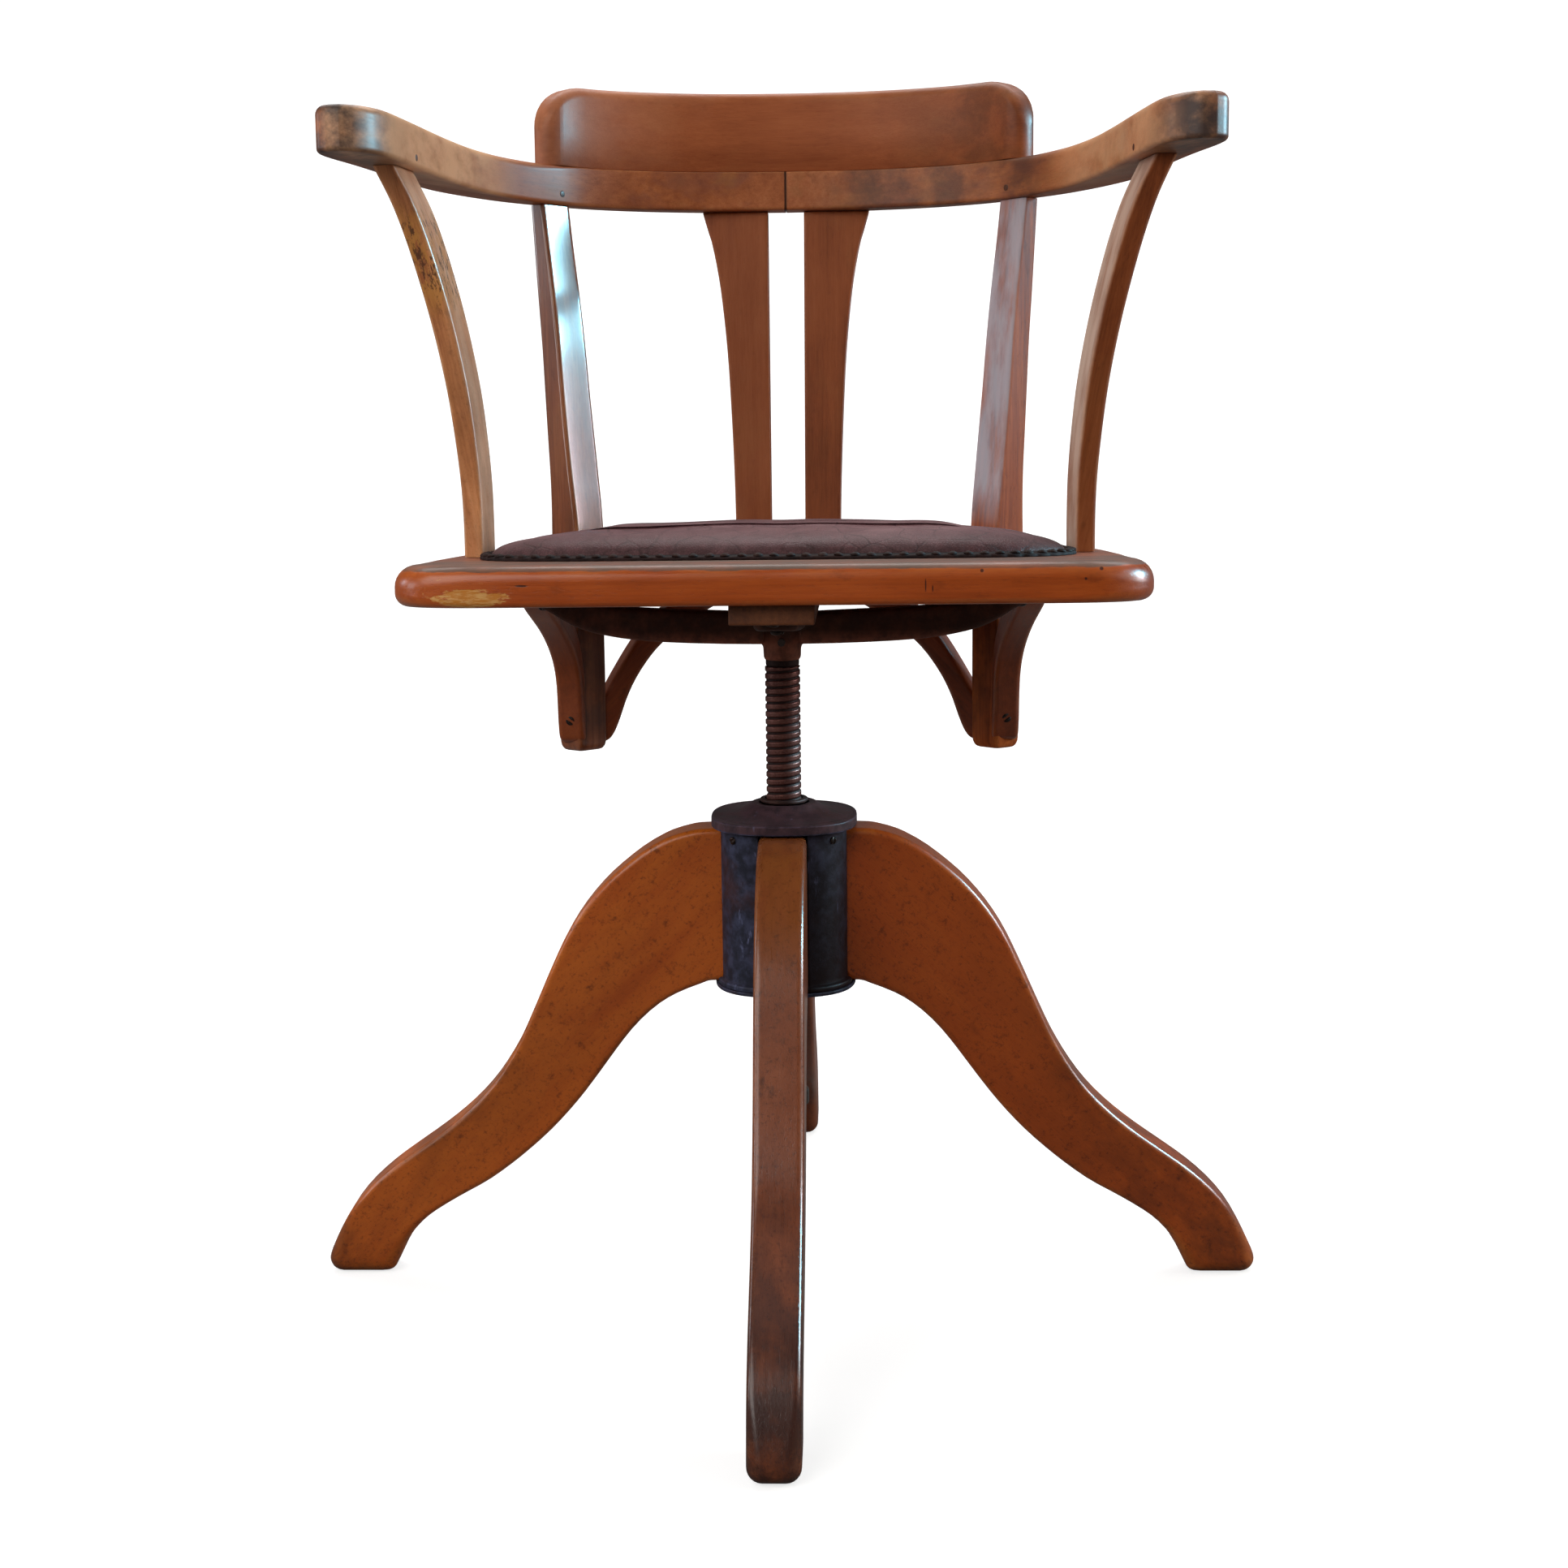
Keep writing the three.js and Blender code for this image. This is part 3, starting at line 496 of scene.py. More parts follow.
def wood(name, dark, mid, light, worn_and_sheen, speck=0.6, streak=1.0, rough=0.36, coat=0.22, extra=None, dirt_and_shade_col=(18, 12, 10), mottle=1.0,
         fade_and_light_col=(188, 148, 106), wear_and_sheen=0.3, coat_rough=0.2, pepper=0.0, bump=0.22,
         patina=0.0, spec=0.38):
    t = Tree(name)
    g = t.attr("grain").outputs["Vector"]
    edge = t.attr("edge").outputs["Fac"]
    dirt_and_shade = t.attr("dirt_and_shade").outputs["Fac"]
    tone = t.noise(t.scaled(g, (3.2, 11, 11)), detail=3)
    bands = t.noise(t.scaled(g, (5, 95, 60)), detail=4, rough=0.6, distort=0.35)
    streaks = t.noise(t.scaled(g, (12, 420, 420)), detail=4, rough=0.6)
    fibre = t.noise(t.scaled(g, (70, 1700, 1700)), detail=2)
    pores = t.noise(t.scaled(g, (190, 1250, 1250)), detail=2, rough=0.5)
    blot = t.noise(t.scaled(g, (55, 90, 90)), detail=4, rough=0.62)
    cloud = t.noise(t.scaled(g, (9, 13, 13)), detail=5, rough=0.6)
    v = t.math("MULTIPLY_ADD", tone, 0.9, 0.05)
    v = t.math("ADD", v, t.math("MULTIPLY", t.math("SUBTRACT", bands, 0.5), 0.75 * streak))
    v = t.math("ADD", v, t.math("MULTIPLY", t.math("SUBTRACT", streaks, 0.5), 0.5 * streak))
    v = t.math("ADD", v, t.math("MULTIPLY", t.math("SUBTRACT", fibre, 0.5), 0.22))
    v = t.math("ADD", v, t.math("MULTIPLY", t.math("SUBTRACT", cloud, 0.5), 0.55 * mottle), clamp=True)
    col = t.ramp(v, [(0.18, dark), (0.5, mid), (0.82, light)])
    fleck = t.span(pores, 0.60, 0.70)
    col = t.mix(t.math("MULTIPLY", fleck, 0.34 * speck), col, tuple(c * 0.30 for c in dark))
    stain = t.span(blot, 0.60, 0.74)
    col = t.mix(t.math("MULTIPLY", stain, 0.55 * speck), col, tuple(c * 0.34 for c in dark))
    # Rounded edges are mixed towards the lighter worn colour: partly rubbed-through varnish, partly painted sheen of
    # light caught along the edges.
    rub_and_sheen = t.math("MULTIPLY", edge, t.span(t.noise(t.scaled(g, (26, 80, 80)), detail=4, rough=0.65), 0.36, 0.66), clamp=True)
    col = t.mix(t.math("MULTIPLY", rub_and_sheen, wear_and_sheen), col, worn_and_sheen)
    if patina:
        olive = t.span(t.noise(t.scaled(g, (16, 34, 34)), detail=4, rough=0.6), 0.48, 0.66)
        violet = t.span(t.noise(t.scaled(g, (12, 26, 26)), detail=4, rough=0.6, distort=0.4), 0.52, 0.68)
        col = t.mix(t.math("MULTIPLY", olive, 0.55 * patina), col, lin(148, 100, 58))
        col = t.mix(t.math("MULTIPLY", violet, 0.55 * patina), col, lin(120, 74, 62))
    # This mask mixes towards the faded colour: sun-faded wood, and painted light on the whole left leg, the left end of
    # the crest, the right back post's inner face and the left arm rail.
    fade_and_light = t.attr("fade_and_light").outputs["Fac"]
    fade_light_mask = t.math("MULTIPLY", fade_and_light, t.span(t.noise(t.scaled(g, (14, 55, 55)), detail=5, rough=0.6), 0.28, 0.60, 0.35, 1.0), clamp=True)
    col = t.mix(t.math("MULTIPLY", fade_light_mask, 0.85), col, lin(*fade_and_light_col))
    if pepper:
        black = tuple(c * 0.22 for c in dark)
        coarse = t.span(t.noise(g, 150, 6, 0.75), 0.54, 0.70)
        small = t.span(t.noise(g, 420, 5, 0.72), 0.54, 0.68)
        col = t.mix(t.math("MULTIPLY", coarse, 0.50 * pepper), col, black)
        col = t.mix(t.math("MULTIPLY", small, 0.48 * pepper), col, black)
    # This mask mixes towards the dark grime colour: real dirt on feet and handled ends, and painted shade on the posts
    # below the seat, the right leg, the crest and the rear of the right rail.
    dirt = t.math("MULTIPLY", dirt_and_shade, t.span(t.noise(t.scaled(g, (30, 42, 42)), detail=5, rough=0.65), 0.25, 0.62), clamp=True)
    dirt = t.math("MULTIPLY", dirt, 0.92)
    col = t.mix(dirt, col, lin(*dirt_and_shade_col))
    r = t.math("ADD", rough, t.math("MULTIPLY", t.math("SUBTRACT", cloud, 0.5), 0.22))
    r = t.math("ADD", r, t.math("MULTIPLY", t.math("SUBTRACT", streaks, 0.5), 0.12))
    r = t.math("SUBTRACT", r, t.math("MULTIPLY", edge, 0.05), clamp=True)
    h = t.math("ADD", t.math("MULTIPLY", streaks, 0.5), t.math("MULTIPLY", fibre, 0.25))
    h = t.math("SUBTRACT", h, t.math("MULTIPLY", fleck, 0.45))
    h = t.math("ADD", h, t.math("MULTIPLY", cloud, 1.4))
    if extra:
        col, r, h = extra(t, col, r, h, g)
    t.bump(h, bump, 0.0006)
    return t.set(Base_Color=col, Roughness=r, Coat_Weight=coat, Coat_Roughness=coat_rough, Coat_IOR=1.5, Specular_IOR_Level=spec)


def iron_paint(name, base, light, rust, rough=0.5, grain=0.5, metallic=0.35, rubs=1.0, spec=0.5, shade_depth=0.35):
    t = Tree(name)
    g = t.attr("grain").outputs["Vector"]
    edge = t.attr("edge").outputs["Fac"]
    fine = t.noise(g, 900, 3, 0.6)
    lump = t.noise(g, 120, 4, 0.6)
    big = t.noise(g, 24, 4, 0.6)
    col = t.mix(t.span(lump, 0.35, 0.72), base, light)
    scr = t.noise(t.scaled(g, (260, 260, 60)), detail=5, rough=0.7)
    col = t.mix(t.math("MULTIPLY", t.span(scr, 0.60, 0.72), 0.55 * rubs), col, tuple(min(1, c * 3.2) for c in light))
    col = t.mix(t.math("MULTIPLY", t.span(big, 0.55, 0.75), 0.6), col, rust)
    # Rounded edges lightened: partly rubbed paint, partly a painted highlight along the hub flange rim.
    col = t.mix(t.math("MULTIPLY", edge, t.span(lump, 0.3, 0.7, 0, 0.6)), col, tuple(min(1, c * 2.6) for c in light))
    # This mask darkens towards deep rust brown; on the hub it carries painted shade.
    dirt_and_shade = t.attr("dirt_and_shade").outputs["Fac"]
    col = t.mix(t.math("MULTIPLY", dirt_and_shade, t.span(big, 0.3, 0.6, 0.85, 1.0)), col, tuple(shade_depth * c for c in rust))
    fade_and_light = t.attr("fade_and_light").outputs["Fac"]
    col = t.mix(t.math("MULTIPLY", fade_and_light, t.span(lump, 0.3, 0.65, 0.35, 0.9)), col, tuple(1.75 * c for c in rust))
    r = t.math("ADD", rough, t.math("MULTIPLY", t.math("SUBTRACT", lump, 0.5), 0.35), clamp=True)
    h = t.math("ADD", t.math("MULTIPLY", fine, grain), t.math("MULTIPLY", lump, 1.2))
    t.bump(h, 0.35, 0.0007)
    return t.set(Base_Color=col, Roughness=r, Metallic=metallic, Specular_IOR_Level=spec)


ORANGE = dict(dark=lin(142, 58, 13), mid=lin(173, 76, 19), light=lin(194, 94, 28), worn_and_sheen=lin(206, 128, 62))
BROWN = dict(dark=lin(128, 66, 36), mid=lin(168, 97, 56), light=lin(192, 120, 76), worn_and_sheen=lin(206, 148, 102))
RED = dict(dark=lin(124, 60, 32), mid=lin(161, 88, 50), light=lin(184, 110, 68), worn_and_sheen=lin(196, 134, 92))

leg_wood = wood("leg_wood_orange", **ORANGE, speck=0.45, streak=0.25, mottle=1.0, rough=0.36, pepper=1.15, fade_and_light_col=(212, 116, 38), wear_and_sheen=0.4)
leg_front_wood = wood("leg_wood_worn", dark=lin(86, 40, 20), mid=lin(123, 63, 34), light=lin(150, 84, 52), worn_and_sheen=lin(176, 118, 86), speck=0.9, streak=0.45, mottle=1.3, rough=0.30, pepper=0.9, dirt_and_shade_col=(44, 27, 26), fade_and_light_col=(150, 88, 40))
leg_rear_wood = wood("leg_wood_dark", dark=lin(92, 40, 14), mid=lin(128, 58, 20), light=lin(150, 74, 28), worn_and_sheen=lin(160, 92, 46), speck=0.8, streak=0.3, rough=0.40, pepper=0.8)
def rail_seam(t, col, r, h, g):
    """Dark dirt in the joint where the two sawn halves of the rail meet."""
    xyz = t.new("SeparateXYZ")
    t.put(xyz.inputs[0], t.new("TexCoord").outputs["Object"])
    off = t.math("ABSOLUTE", xyz.outputs[0])
    col = t.mix(t.math("MULTIPLY", t.span(off, 0.0005, 0.0014, 1.0, 0.0), 0.8), col, lin(48, 26, 17))
    return col, r, h


# The bluish grey grime colour of the arm ends is partly handling dirt, partly painted bluish sheen.
arm_wood = wood("arm_wood_tan", extra=rail_seam, **BROWN, speck=0.6, streak=0.8, rough=0.46, coat=0.07, coat_rough=0.25, spec=0.22, fade_and_light_col=(238, 190, 146), patina=0.8, dirt_and_shade_col=(42, 38, 42))
post_wood = wood("post_wood", dark=lin(98, 50, 25), mid=lin(130, 70, 37), light=lin(160, 94, 56), worn_and_sheen=lin(204, 146, 100), speck=0.5, streak=1.5, rough=0.34, coat=0.9, coat_rough=0.12, spec=0.2, fade_and_light_col=(198, 164, 132), patina=0.35)
crest_wood = wood("crest_wood_red", **RED, speck=0.3, streak=0.5, rough=0.48, coat=0.03, coat_rough=0.3, spec=0.16, dirt_and_shade_col=(50, 36, 26), patina=0.25, fade_and_light_col=(206, 142, 108))
splat_wood = wood("splat_wood", dark=lin(108, 54, 28), mid=lin(146, 78, 42), light=lin(166, 96, 58), worn_and_sheen=lin(186, 122, 82), speck=0.3, streak=0.6, rough=0.44, coat=0.04, coat_rough=0.3, spec=0.2, patina=0.2)
brace_wood = wood("brace_wood", dark=lin(92, 40, 14), mid=lin(134, 62, 24), light=lin(160, 82, 36), worn_and_sheen=lin(180, 104, 52), speck=0.6, streak=0.7, rough=0.42, coat=0.15)
batten_wood = wood("batten_wood", dark=lin(62, 32, 14), mid=lin(96, 52, 24), light=lin(118, 68, 36), worn_and_sheen=lin(130, 84, 52), speck=0.6, streak=1.2, rough=0.55, coat=0.0)
plug_wood = wood("plug_wood", dark=lin(40, 20, 12), mid=lin(78, 42, 24), light=lin(104, 60, 36), worn_and_sheen=lin(120, 80, 54), speck=0.6, streak=1.0, rough=0.5, coat=0.1)


def plank_extra(t, col, r, h, g):
    """Wear of the seat board: greyed margin in front of the pad (partly worn varnish, partly painted sheen), a chipped
    patch, short cracks and pin holes.
    """
    pos = t.new("TexCoord").outputs["Object"]
    xyz = t.new("SeparateXYZ")
    t.put(xyz.inputs[0], pos)
    x, y, z = xyz.outputs
    nz = t.noise(t.scaled(g, (18, 60, 60)), detail=5, rough=0.65)
    border = t.noise(t.scaled(g, (30, 45, 45)), detail=4, rough=0.6)
    up = t.math("ADD", t.attr("topside").outputs["Fac"], t.math("MULTIPLY", t.math("SUBTRACT", border, 0.5), 0.9))
    up = t.span(up, 0.30, 0.46)
    front = t.span(y, -0.150, -0.060, 1.0, 0.60)
    # The greyed top margin is partly worn varnish, partly painted sheen where the top catches light at a grazing angle.
    grey_wear_and_sheen = t.math("MULTIPLY", t.math("MULTIPLY", up, front), t.span(nz, 0.25, 0.62, 0.55, 1.0), clamp=True)
    col = t.mix(t.math("MULTIPLY", grey_wear_and_sheen, 0.86), col, lin(70, 60, 46))
    pale = t.math("MULTIPLY", t.span(y, -0.1500, -0.1445), t.span(y, -0.1410, -0.1370, 1.0, 0.0))
    pale = t.math("MULTIPLY", pale, t.math("MULTIPLY", t.span(t.math("ABSOLUTE", x), 0.07, 0.125, 1.0, 0.0), t.span(nz, 0.35, 0.6)))
    col = t.mix(t.math("MULTIPLY", t.math("MULTIPLY", pale, up), 0.45, clamp=True), col, lin(140, 122, 100))
    r = t.math("ADD", r, t.math("MULTIPLY", grey_wear_and_sheen, 0.30))
    # chipped varnish near the left end of the front edge
    def blob(cx, cz, rx, rz):
        dx = t.math("DIVIDE", t.math("SUBTRACT", x, cx), rx)
        dz = t.math("DIVIDE", t.math("SUBTRACT", z, cz), rz)
        d = t.math("ADD", t.math("MULTIPLY", dx, dx), t.math("MULTIPLY", dz, dz))
        return t.span(d, 0.25, 1.0, 1.0, 0.0)
    facing = t.span(y, -0.170, -0.165, 1.0, 0.0)
    chips = t.span(t.noise(t.scaled(g, (110, 700, 700)), detail=4, rough=0.6), 0.44, 0.60)
    rag = t.math("MULTIPLY_ADD", t.noise(t.scaled(g, (120, 420, 420)), detail=5, rough=0.65), 3.0, -1.5)
    patch = t.span(t.math("ADD", blob(-0.1733, 0.4862, 0.0280, 0.0070), rag), 0.35, 0.85)
    patch = t.math("MULTIPLY", t.math("MULTIPLY", patch, facing), t.span(x, -0.205, -0.198), clamp=True)
    patch = t.math("MULTIPLY", patch, t.span(x, -0.150, -0.144, 1.0, 0.0), clamp=True)
    col = t.mix(t.math("MULTIPLY", patch, 0.74), col, lin(204, 134, 50))
    col = t.mix(t.math("MULTIPLY", t.math("MULTIPLY", patch, chips), 0.50), col, lin(232, 192, 122))
    h = t.math("SUBTRACT", h, t.math("MULTIPLY", patch, 1.5))
    marks = None
    for cx, cz, rx, rz in ((-0.1425, 0.4934, 0.0045, 0.0008), (0.0885, 0.4918, 0.0005, 0.0048), (0.0925, 0.4900, 0.0005, 0.0024),
                           (0.1205, 0.4998, 0.0013, 0.0012), (0.1885, 0.5001, 0.0014, 0.0012), (0.1794, 0.4947, 0.0010, 0.0010)):
        m = blob(cx, cz, rx, rz)
        marks = m if marks is None else t.math("MAXIMUM", marks, m)
    marks = t.math("MULTIPLY", marks, facing, clamp=True)
    col = t.mix(t.math("MULTIPLY", marks, 0.85), col, lin(30, 14, 10))
    h = t.math("SUBTRACT", h, t.math("MULTIPLY", marks, 1.0))
    return col, r, h


plank_wood = wood("seat_board_wood", **ORANGE, speck=0.5, streak=1.0, rough=0.33, extra=plank_extra)

hub_iron = iron_paint("hub_black_paint", lin(38, 40, 52), lin(64, 68, 91), lin(70, 43, 38), rough=0.48, rubs=1.3, metallic=0.0, spec=0.12, shade_depth=0.20)
spider_iron = iron_paint("spider_black_iron", lin(56, 29, 19), lin(80, 45, 31), lin(124, 72, 54), rough=0.72, rubs=0.12, metallic=0.0, spec=0.28)
steel = iron_paint("dull_steel", lin(62, 50, 46), lin(96, 82, 76), lin(70, 40, 28), rough=0.42, metallic=0.6, rubs=0.6)
screw_metal = iron_paint("fastener_steel", lin(34, 26, 23), lin(62, 50, 44), lin(44, 24, 17), rough=0.45, metallic=0.7, rubs=0.5)
nail_metal = iron_paint("nail_heads", lin(30, 16, 13), lin(50, 30, 25), lin(40, 21, 16), rough=0.70, metallic=0.0, rubs=0.2, spec=0.16)


def thread_material():
    t = Tree("threaded_steel")
    g = t.attr("grain").outputs["Vector"]
    edge = t.attr("edge").outputs["Fac"]
    big = t.noise(g, 40, 4, 0.6)
    fine = t.noise(t.scaled(g, (900, 900, 900)), detail=3)
    col = t.mix(t.span(big, 0.35, 0.7), lin(88, 46, 40), lin(118, 72, 62))
    col = t.mix(t.span(edge, 0.15, 0.75), lin(42, 22, 19), col)
    col = t.mix(t.math("MULTIPLY", t.span(edge, 0.7, 1.0), t.span(fine, 0.4, 0.65, 0.1, 0.6)), col, lin(120, 84, 76))
    r = t.math("ADD", t.span(edge, 0.2, 1.0, 0.62, 0.40), t.math("MULTIPLY", t.math("SUBTRACT", big, 0.5), 0.25), clamp=True)
    t.bump(t.math("ADD", fine, t.math("MULTIPLY", big, 0.7)), 0.25, 0.0004)
    return t.set(Base_Color=col, Roughness=r, Metallic=0.55)


thread_steel = thread_material()


def leather_material():
    t = Tree("pad_leather")
    g = t.attr("grain").outputs["Vector"]
    dirt_and_shade = t.attr("dirt_and_shade").outputs["Fac"]
    cells = t.new("TexVoronoi", feature="DISTANCE_TO_EDGE")
    t.put(cells.inputs["Vector"], g)
    cells.inputs["Scale"].default_value = 620
    cell = t.span(cells.outputs["Distance"], 0.0, 0.28)
    creases = t.new("TexVoronoi", feature="DISTANCE_TO_EDGE")
    warp = t.new("VectorMath", operation="ADD")
    t.put(warp.inputs[0], g)
    wn = t.new("TexNoise")
    t.put(wn.inputs["Vector"], g)
    wn.inputs["Scale"].default_value = 30
    t.put(warp.inputs[1], t.scaled(wn.outputs["Color"], (0.02, 0.02, 0.02)))
    t.put(creases.inputs["Vector"], warp.outputs[0])
    creases.inputs["Scale"].default_value = 42
    crease = t.span(creases.outputs["Distance"], 0.0, 0.05)
    cloud = t.noise(g, 11, 5, 0.6)
    mott = t.noise(g, 70, 5, 0.65)
    v = t.math("ADD", t.math("MULTIPLY", cloud, 0.65), t.math("MULTIPLY", mott, 0.35))
    col = t.ramp(v, [(0.30, lin(70, 40, 43)), (0.50, lin(116, 77, 81)), (0.68, lin(156, 118, 121))])
    col = t.mix(t.math("MULTIPLY", t.span(crease, 0, 1, 1, 0), t.span(mott, 0.35, 0.6, 0.0, 0.5)), col, lin(26, 14, 14))
    col = t.mix(t.span(cell, 0, 1, 0.28, 0), col, lin(24, 13, 13))
    col = t.mix(t.math("MULTIPLY", dirt_and_shade, t.span(mott, 0.3, 0.6, 0.35, 0.8)), col, lin(50, 29, 29))
    r = t.math("ADD", 0.50, t.math("MULTIPLY", t.math("SUBTRACT", cloud, 0.5), 0.5))
    r = t.math("ADD", r, t.math("MULTIPLY", t.math("SUBTRACT", mott, 0.5), 0.25), clamp=True)
    h = t.math("ADD", t.math("MULTIPLY", cell, 0.5), t.math("MULTIPLY", crease, 0.6))
    h = t.math("ADD", h, t.math("MULTIPLY", mott, 0.8))
    t.bump(h, 0.35, 0.0006)
    return t.set(Base_Color=col, Roughness=r, Specular_IOR_Level=0.18)


leather = leather_material()


def band_material():
    t = Tree("edging_band")
    g = t.attr("grain").outputs["Vector"]
    w = t.noise(g, 500, 4, 0.7)
    b = t.noise(g, 60, 4, 0.6)
    col = t.mix(t.span(b, 0.35, 0.7), lin(26, 15, 14), lin(44, 27, 25))
    col = t.mix(t.span(w, 0.55, 0.75, 0, 0.4), col, lin(66, 45, 41))
    t.bump(w, 0.35, 0.0006)
    r = t.math("ADD", 0.76, t.math("MULTIPLY", t.math("SUBTRACT", b, 0.5), 0.3), clamp=True)
    return t.set(Base_Color=col, Roughness=r, Specular_IOR_Level=0.14)


band = band_material()

# ---------------------------------------------------------------- legs
leg_top = spline([
    [36, 313.6], [50, 313.5], [61, 312.6], [75, 308.7], [86, 303.4], [95.7, 297.4], [103.7, 291.4],
    [116.7, 280.4], [127.6, 269], [136.7, 257.6], [144.3, 246.1], [150.6, 234.7], [156, 223.2],
    [161.3, 211.6], [166.3, 200.1], [171.5, 188.4], [179, 172], [185.5, 159.8], [192.8, 147.8],
    [201.2, 136], [211.5, 124.3], [224.2, 112.4], [239.3, 100.4], [256, 88.5], [272.6, 76.4],
    [286.9, 64], [297.8, 52], [306, 40], [312.4, 28], [317.6, 17], [320, 10.5]])
leg_bottom = spline([
    [274.4, 2.2], [271, 9], [266, 19.5], [258.4, 31.6], [246, 43.6], [226.5, 55.9], [206.5, 67.2],
    [189.4, 79.5], [174.8, 91.6], [162, 103.4], [151, 115], [141, 126.7], [132, 138.4], [123.5, 150],
    [115, 161.7], [106.2, 173.1], [96.5, 183.6], [86.5, 192.2], [76.5, 198.6], [66, 203.4],
    [57, 206.8], [50, 209], [36, 209.2]])
leg_shape = outline(np.vstack([leg_top, [[319.6, 6.4], [317.4, 2.8], [314, 0.7], [310, 0], [283, 0], [278, 0.5]], leg_bottom]), corner=2.2)
leg_round = 4.0 + 5.0 * np.clip((46 - leg_shape[0][:, 1]) / 34, 0, 1)
leg_part = board(leg_shape, -LEG_THICK / 2, LEG_THICK / 2, leg_round, leg_round, seg=6)
leg_part = (leg_part[0][:, [0, 2, 1]] * np.array([1, -1, 1]), leg_part[1], leg_part[2])
for name, deg in (("leg_right", 0), ("leg_rear", 90), ("leg_left", 180), ("leg_front", 270)):
    def leg_dirt_and_shade(v, deg=deg):
        out = np.clip((np.hypot(v[:, 0], v[:, 1]) - 262) / 60, 0, 1) * np.clip(1.15 - v[:, 2] / 60, 0, 1) * 0.85
        if deg == 270:
            out = np.maximum(out, np.clip((165 - v[:, 2]) / 110, 0, 1) * 0.9)
        # Painted shade: the right leg darkens towards its tip, standing in for light falling off away from the lamp on
        # the left.
        if deg == 0:
            out = np.maximum(out, np.clip((np.hypot(v[:, 0], v[:, 1]) - 150) / 200, 0, 0.5))
        if deg in (0, 180):
            # dust-darkened upper edge on the lower half
            r_ = np.hypot(v[:, 0], v[:, 1])
            near = np.full(len(v), 99.0)
            for a in leg_top[::4]:
                near = np.minimum(near, np.hypot(r_ - a[0], v[:, 2] - a[1]))
            out = np.maximum(out, 0.62 * np.clip(1 - (near - 3.2) / 3, 0, 1) * np.clip((215 - v[:, 2]) / 70, 0, 1))
        return out

    def sunlit_root(q):
        return 0.75 * np.clip((q[:, 2] - 225) / 70, 0, 1)

    # Painted light: the left leg gets an even light tint all over, standing in for the lamp on the left; the band under
    # the top edge is yellowed wood.
    def yellowed_and_lit(q, tint=0.45 if deg == 180 else 0.0):
        near = np.full(len(q), 99.0)
        for a in leg_top[::4]:
            near = np.minimum(near, np.hypot(q[:, 0] - a[0], q[:, 2] - a[1]))
        return tint + 0.35 * np.clip(1 - (near - 1) / 7, 0, 1) * np.clip((q[:, 2] - 60) / 60, 0, 1)
    make("visual_" + name, leg_part, {270: leg_front_wood, 90: leg_rear_wood}.get(deg, leg_wood), "base", [name], grain=frame_of((0.71, 0, -0.70), (0, 1, 0)), turn=deg, dirt_and_shade=leg_dirt_and_shade,
         fade_and_light=yellowed_and_lit if deg in (0, 180) else sunlit_root if deg == 270 else None)

# ---------------------------------------------------------------- hub
screw_brown = iron_paint("washer_iron", lin(48, 30, 27), lin(76, 50, 44), lin(70, 42, 34), rough=0.55, metallic=0.3, rubs=0.5, spec=0.3)


def bulged(half, n=160):
    """Square with bulging sides and rounded corners."""
    t = np.arange(n) * 2 * math.pi / n + 1e-4
    c, d = np.cos(t), np.sin(t)
    return np.column_stack([half * np.sign(c) * np.abs(c) ** (2 / HUB_POWER), half * np.sign(d) * np.abs(d) ** (2 / HUB_POWER)])


slot_half = LEG_THICK / 2 + GAP
ring0 = bulged(HUB_HALF, 720)
arc0 = ring0[(ring0[:, 0] > slot_half) & (ring0[:, 1] > slot_half)]
arc0 = arc0[np.argsort(np.arctan2(arc0[:, 1], arc0[:, 0]))]
hub_plan = []
for k in range(4):
    quarter = np.vstack([[[35.7, slot_half], [arc0[0, 0], slot_half]], arc0, [[slot_half, arc0[-1, 1]], [slot_half, 35.7]]])
    hub_plan.append(about_z(np.column_stack([quarter, np.zeros(len(quarter))]), 90 * k)[:, :2])
plan = outline(np.vstack(hub_plan), corner=0.8, turn_deg=5, longest=5)
radial = plan[0] / np.linalg.norm(plan[0], axis=1)[:, None]
lip = 3.1 * np.clip((plan[1] * radial).sum(1) * 1.4, 0, 1) * (np.linalg.norm(plan[0], axis=1) > 43)
hub_body = stack(plan, [(1.8 - lip, HUB_BODY_Z0, 0), (1.0 - lip, HUB_BODY_Z0, 0), (0.3 - lip, HUB_BODY_Z0 + 0.3, 0.7), (0.0 - lip, HUB_BODY_Z0 + 1.0, 0),
                        (0.0 - lip, 211.0, 0), (0.2 - 0.97 * lip, 211.7, 0.7), (0.2 - 0.8 * lip, 212.2, 0), (-0.25 * lip, 212.6, 0), (-0.06 * lip, 213.2, 0),
                        (0.0, 214.4, 0), (0.0, 216.0, 0), (0.0, FLANGE_Z0 - 1, 0), (0.0, FLANGE_Z0 + 0.4, 0)], bore=13.2)
hub_flange = board(outline(bulged(FLANGE_HALF), corner=0, turn_deg=4), FLANGE_Z0, FLANGE_Z1, 1.1, 0.7, seg=5, bore=13.2)
hub_cone = turned([[13.2, FLANGE_Z1 - 1.0], [45.0, FLANGE_Z1 - 1.0], [46.4, FLANGE_Z1 + 0.05], [43, FLANGE_Z1 + 0.35], [40, 322.3], [37, 322.75], [34, 323.4],
                   [31, 324.2], [28, 325.3], [25.6, 326.5], [24, 327.5], [22.6, 328.6], [21.4, HUB_TOP_Z], [13.2, HUB_TOP_Z], [13.2, FLANGE_Z1 - 1.0]], 112, r=0.8)


# Painted shade: the right half of the hub below the flange is darkened towards dark brown, standing in for the lamp
# falling from the left.
def hub_right_painted_shade(q):
    return np.clip((q[:, 0] + 4) / 8, 0, 1) * np.clip((FLANGE_Z0 - 0.5 - q[:, 2]) / 1.0, 0, 1) * 0.97


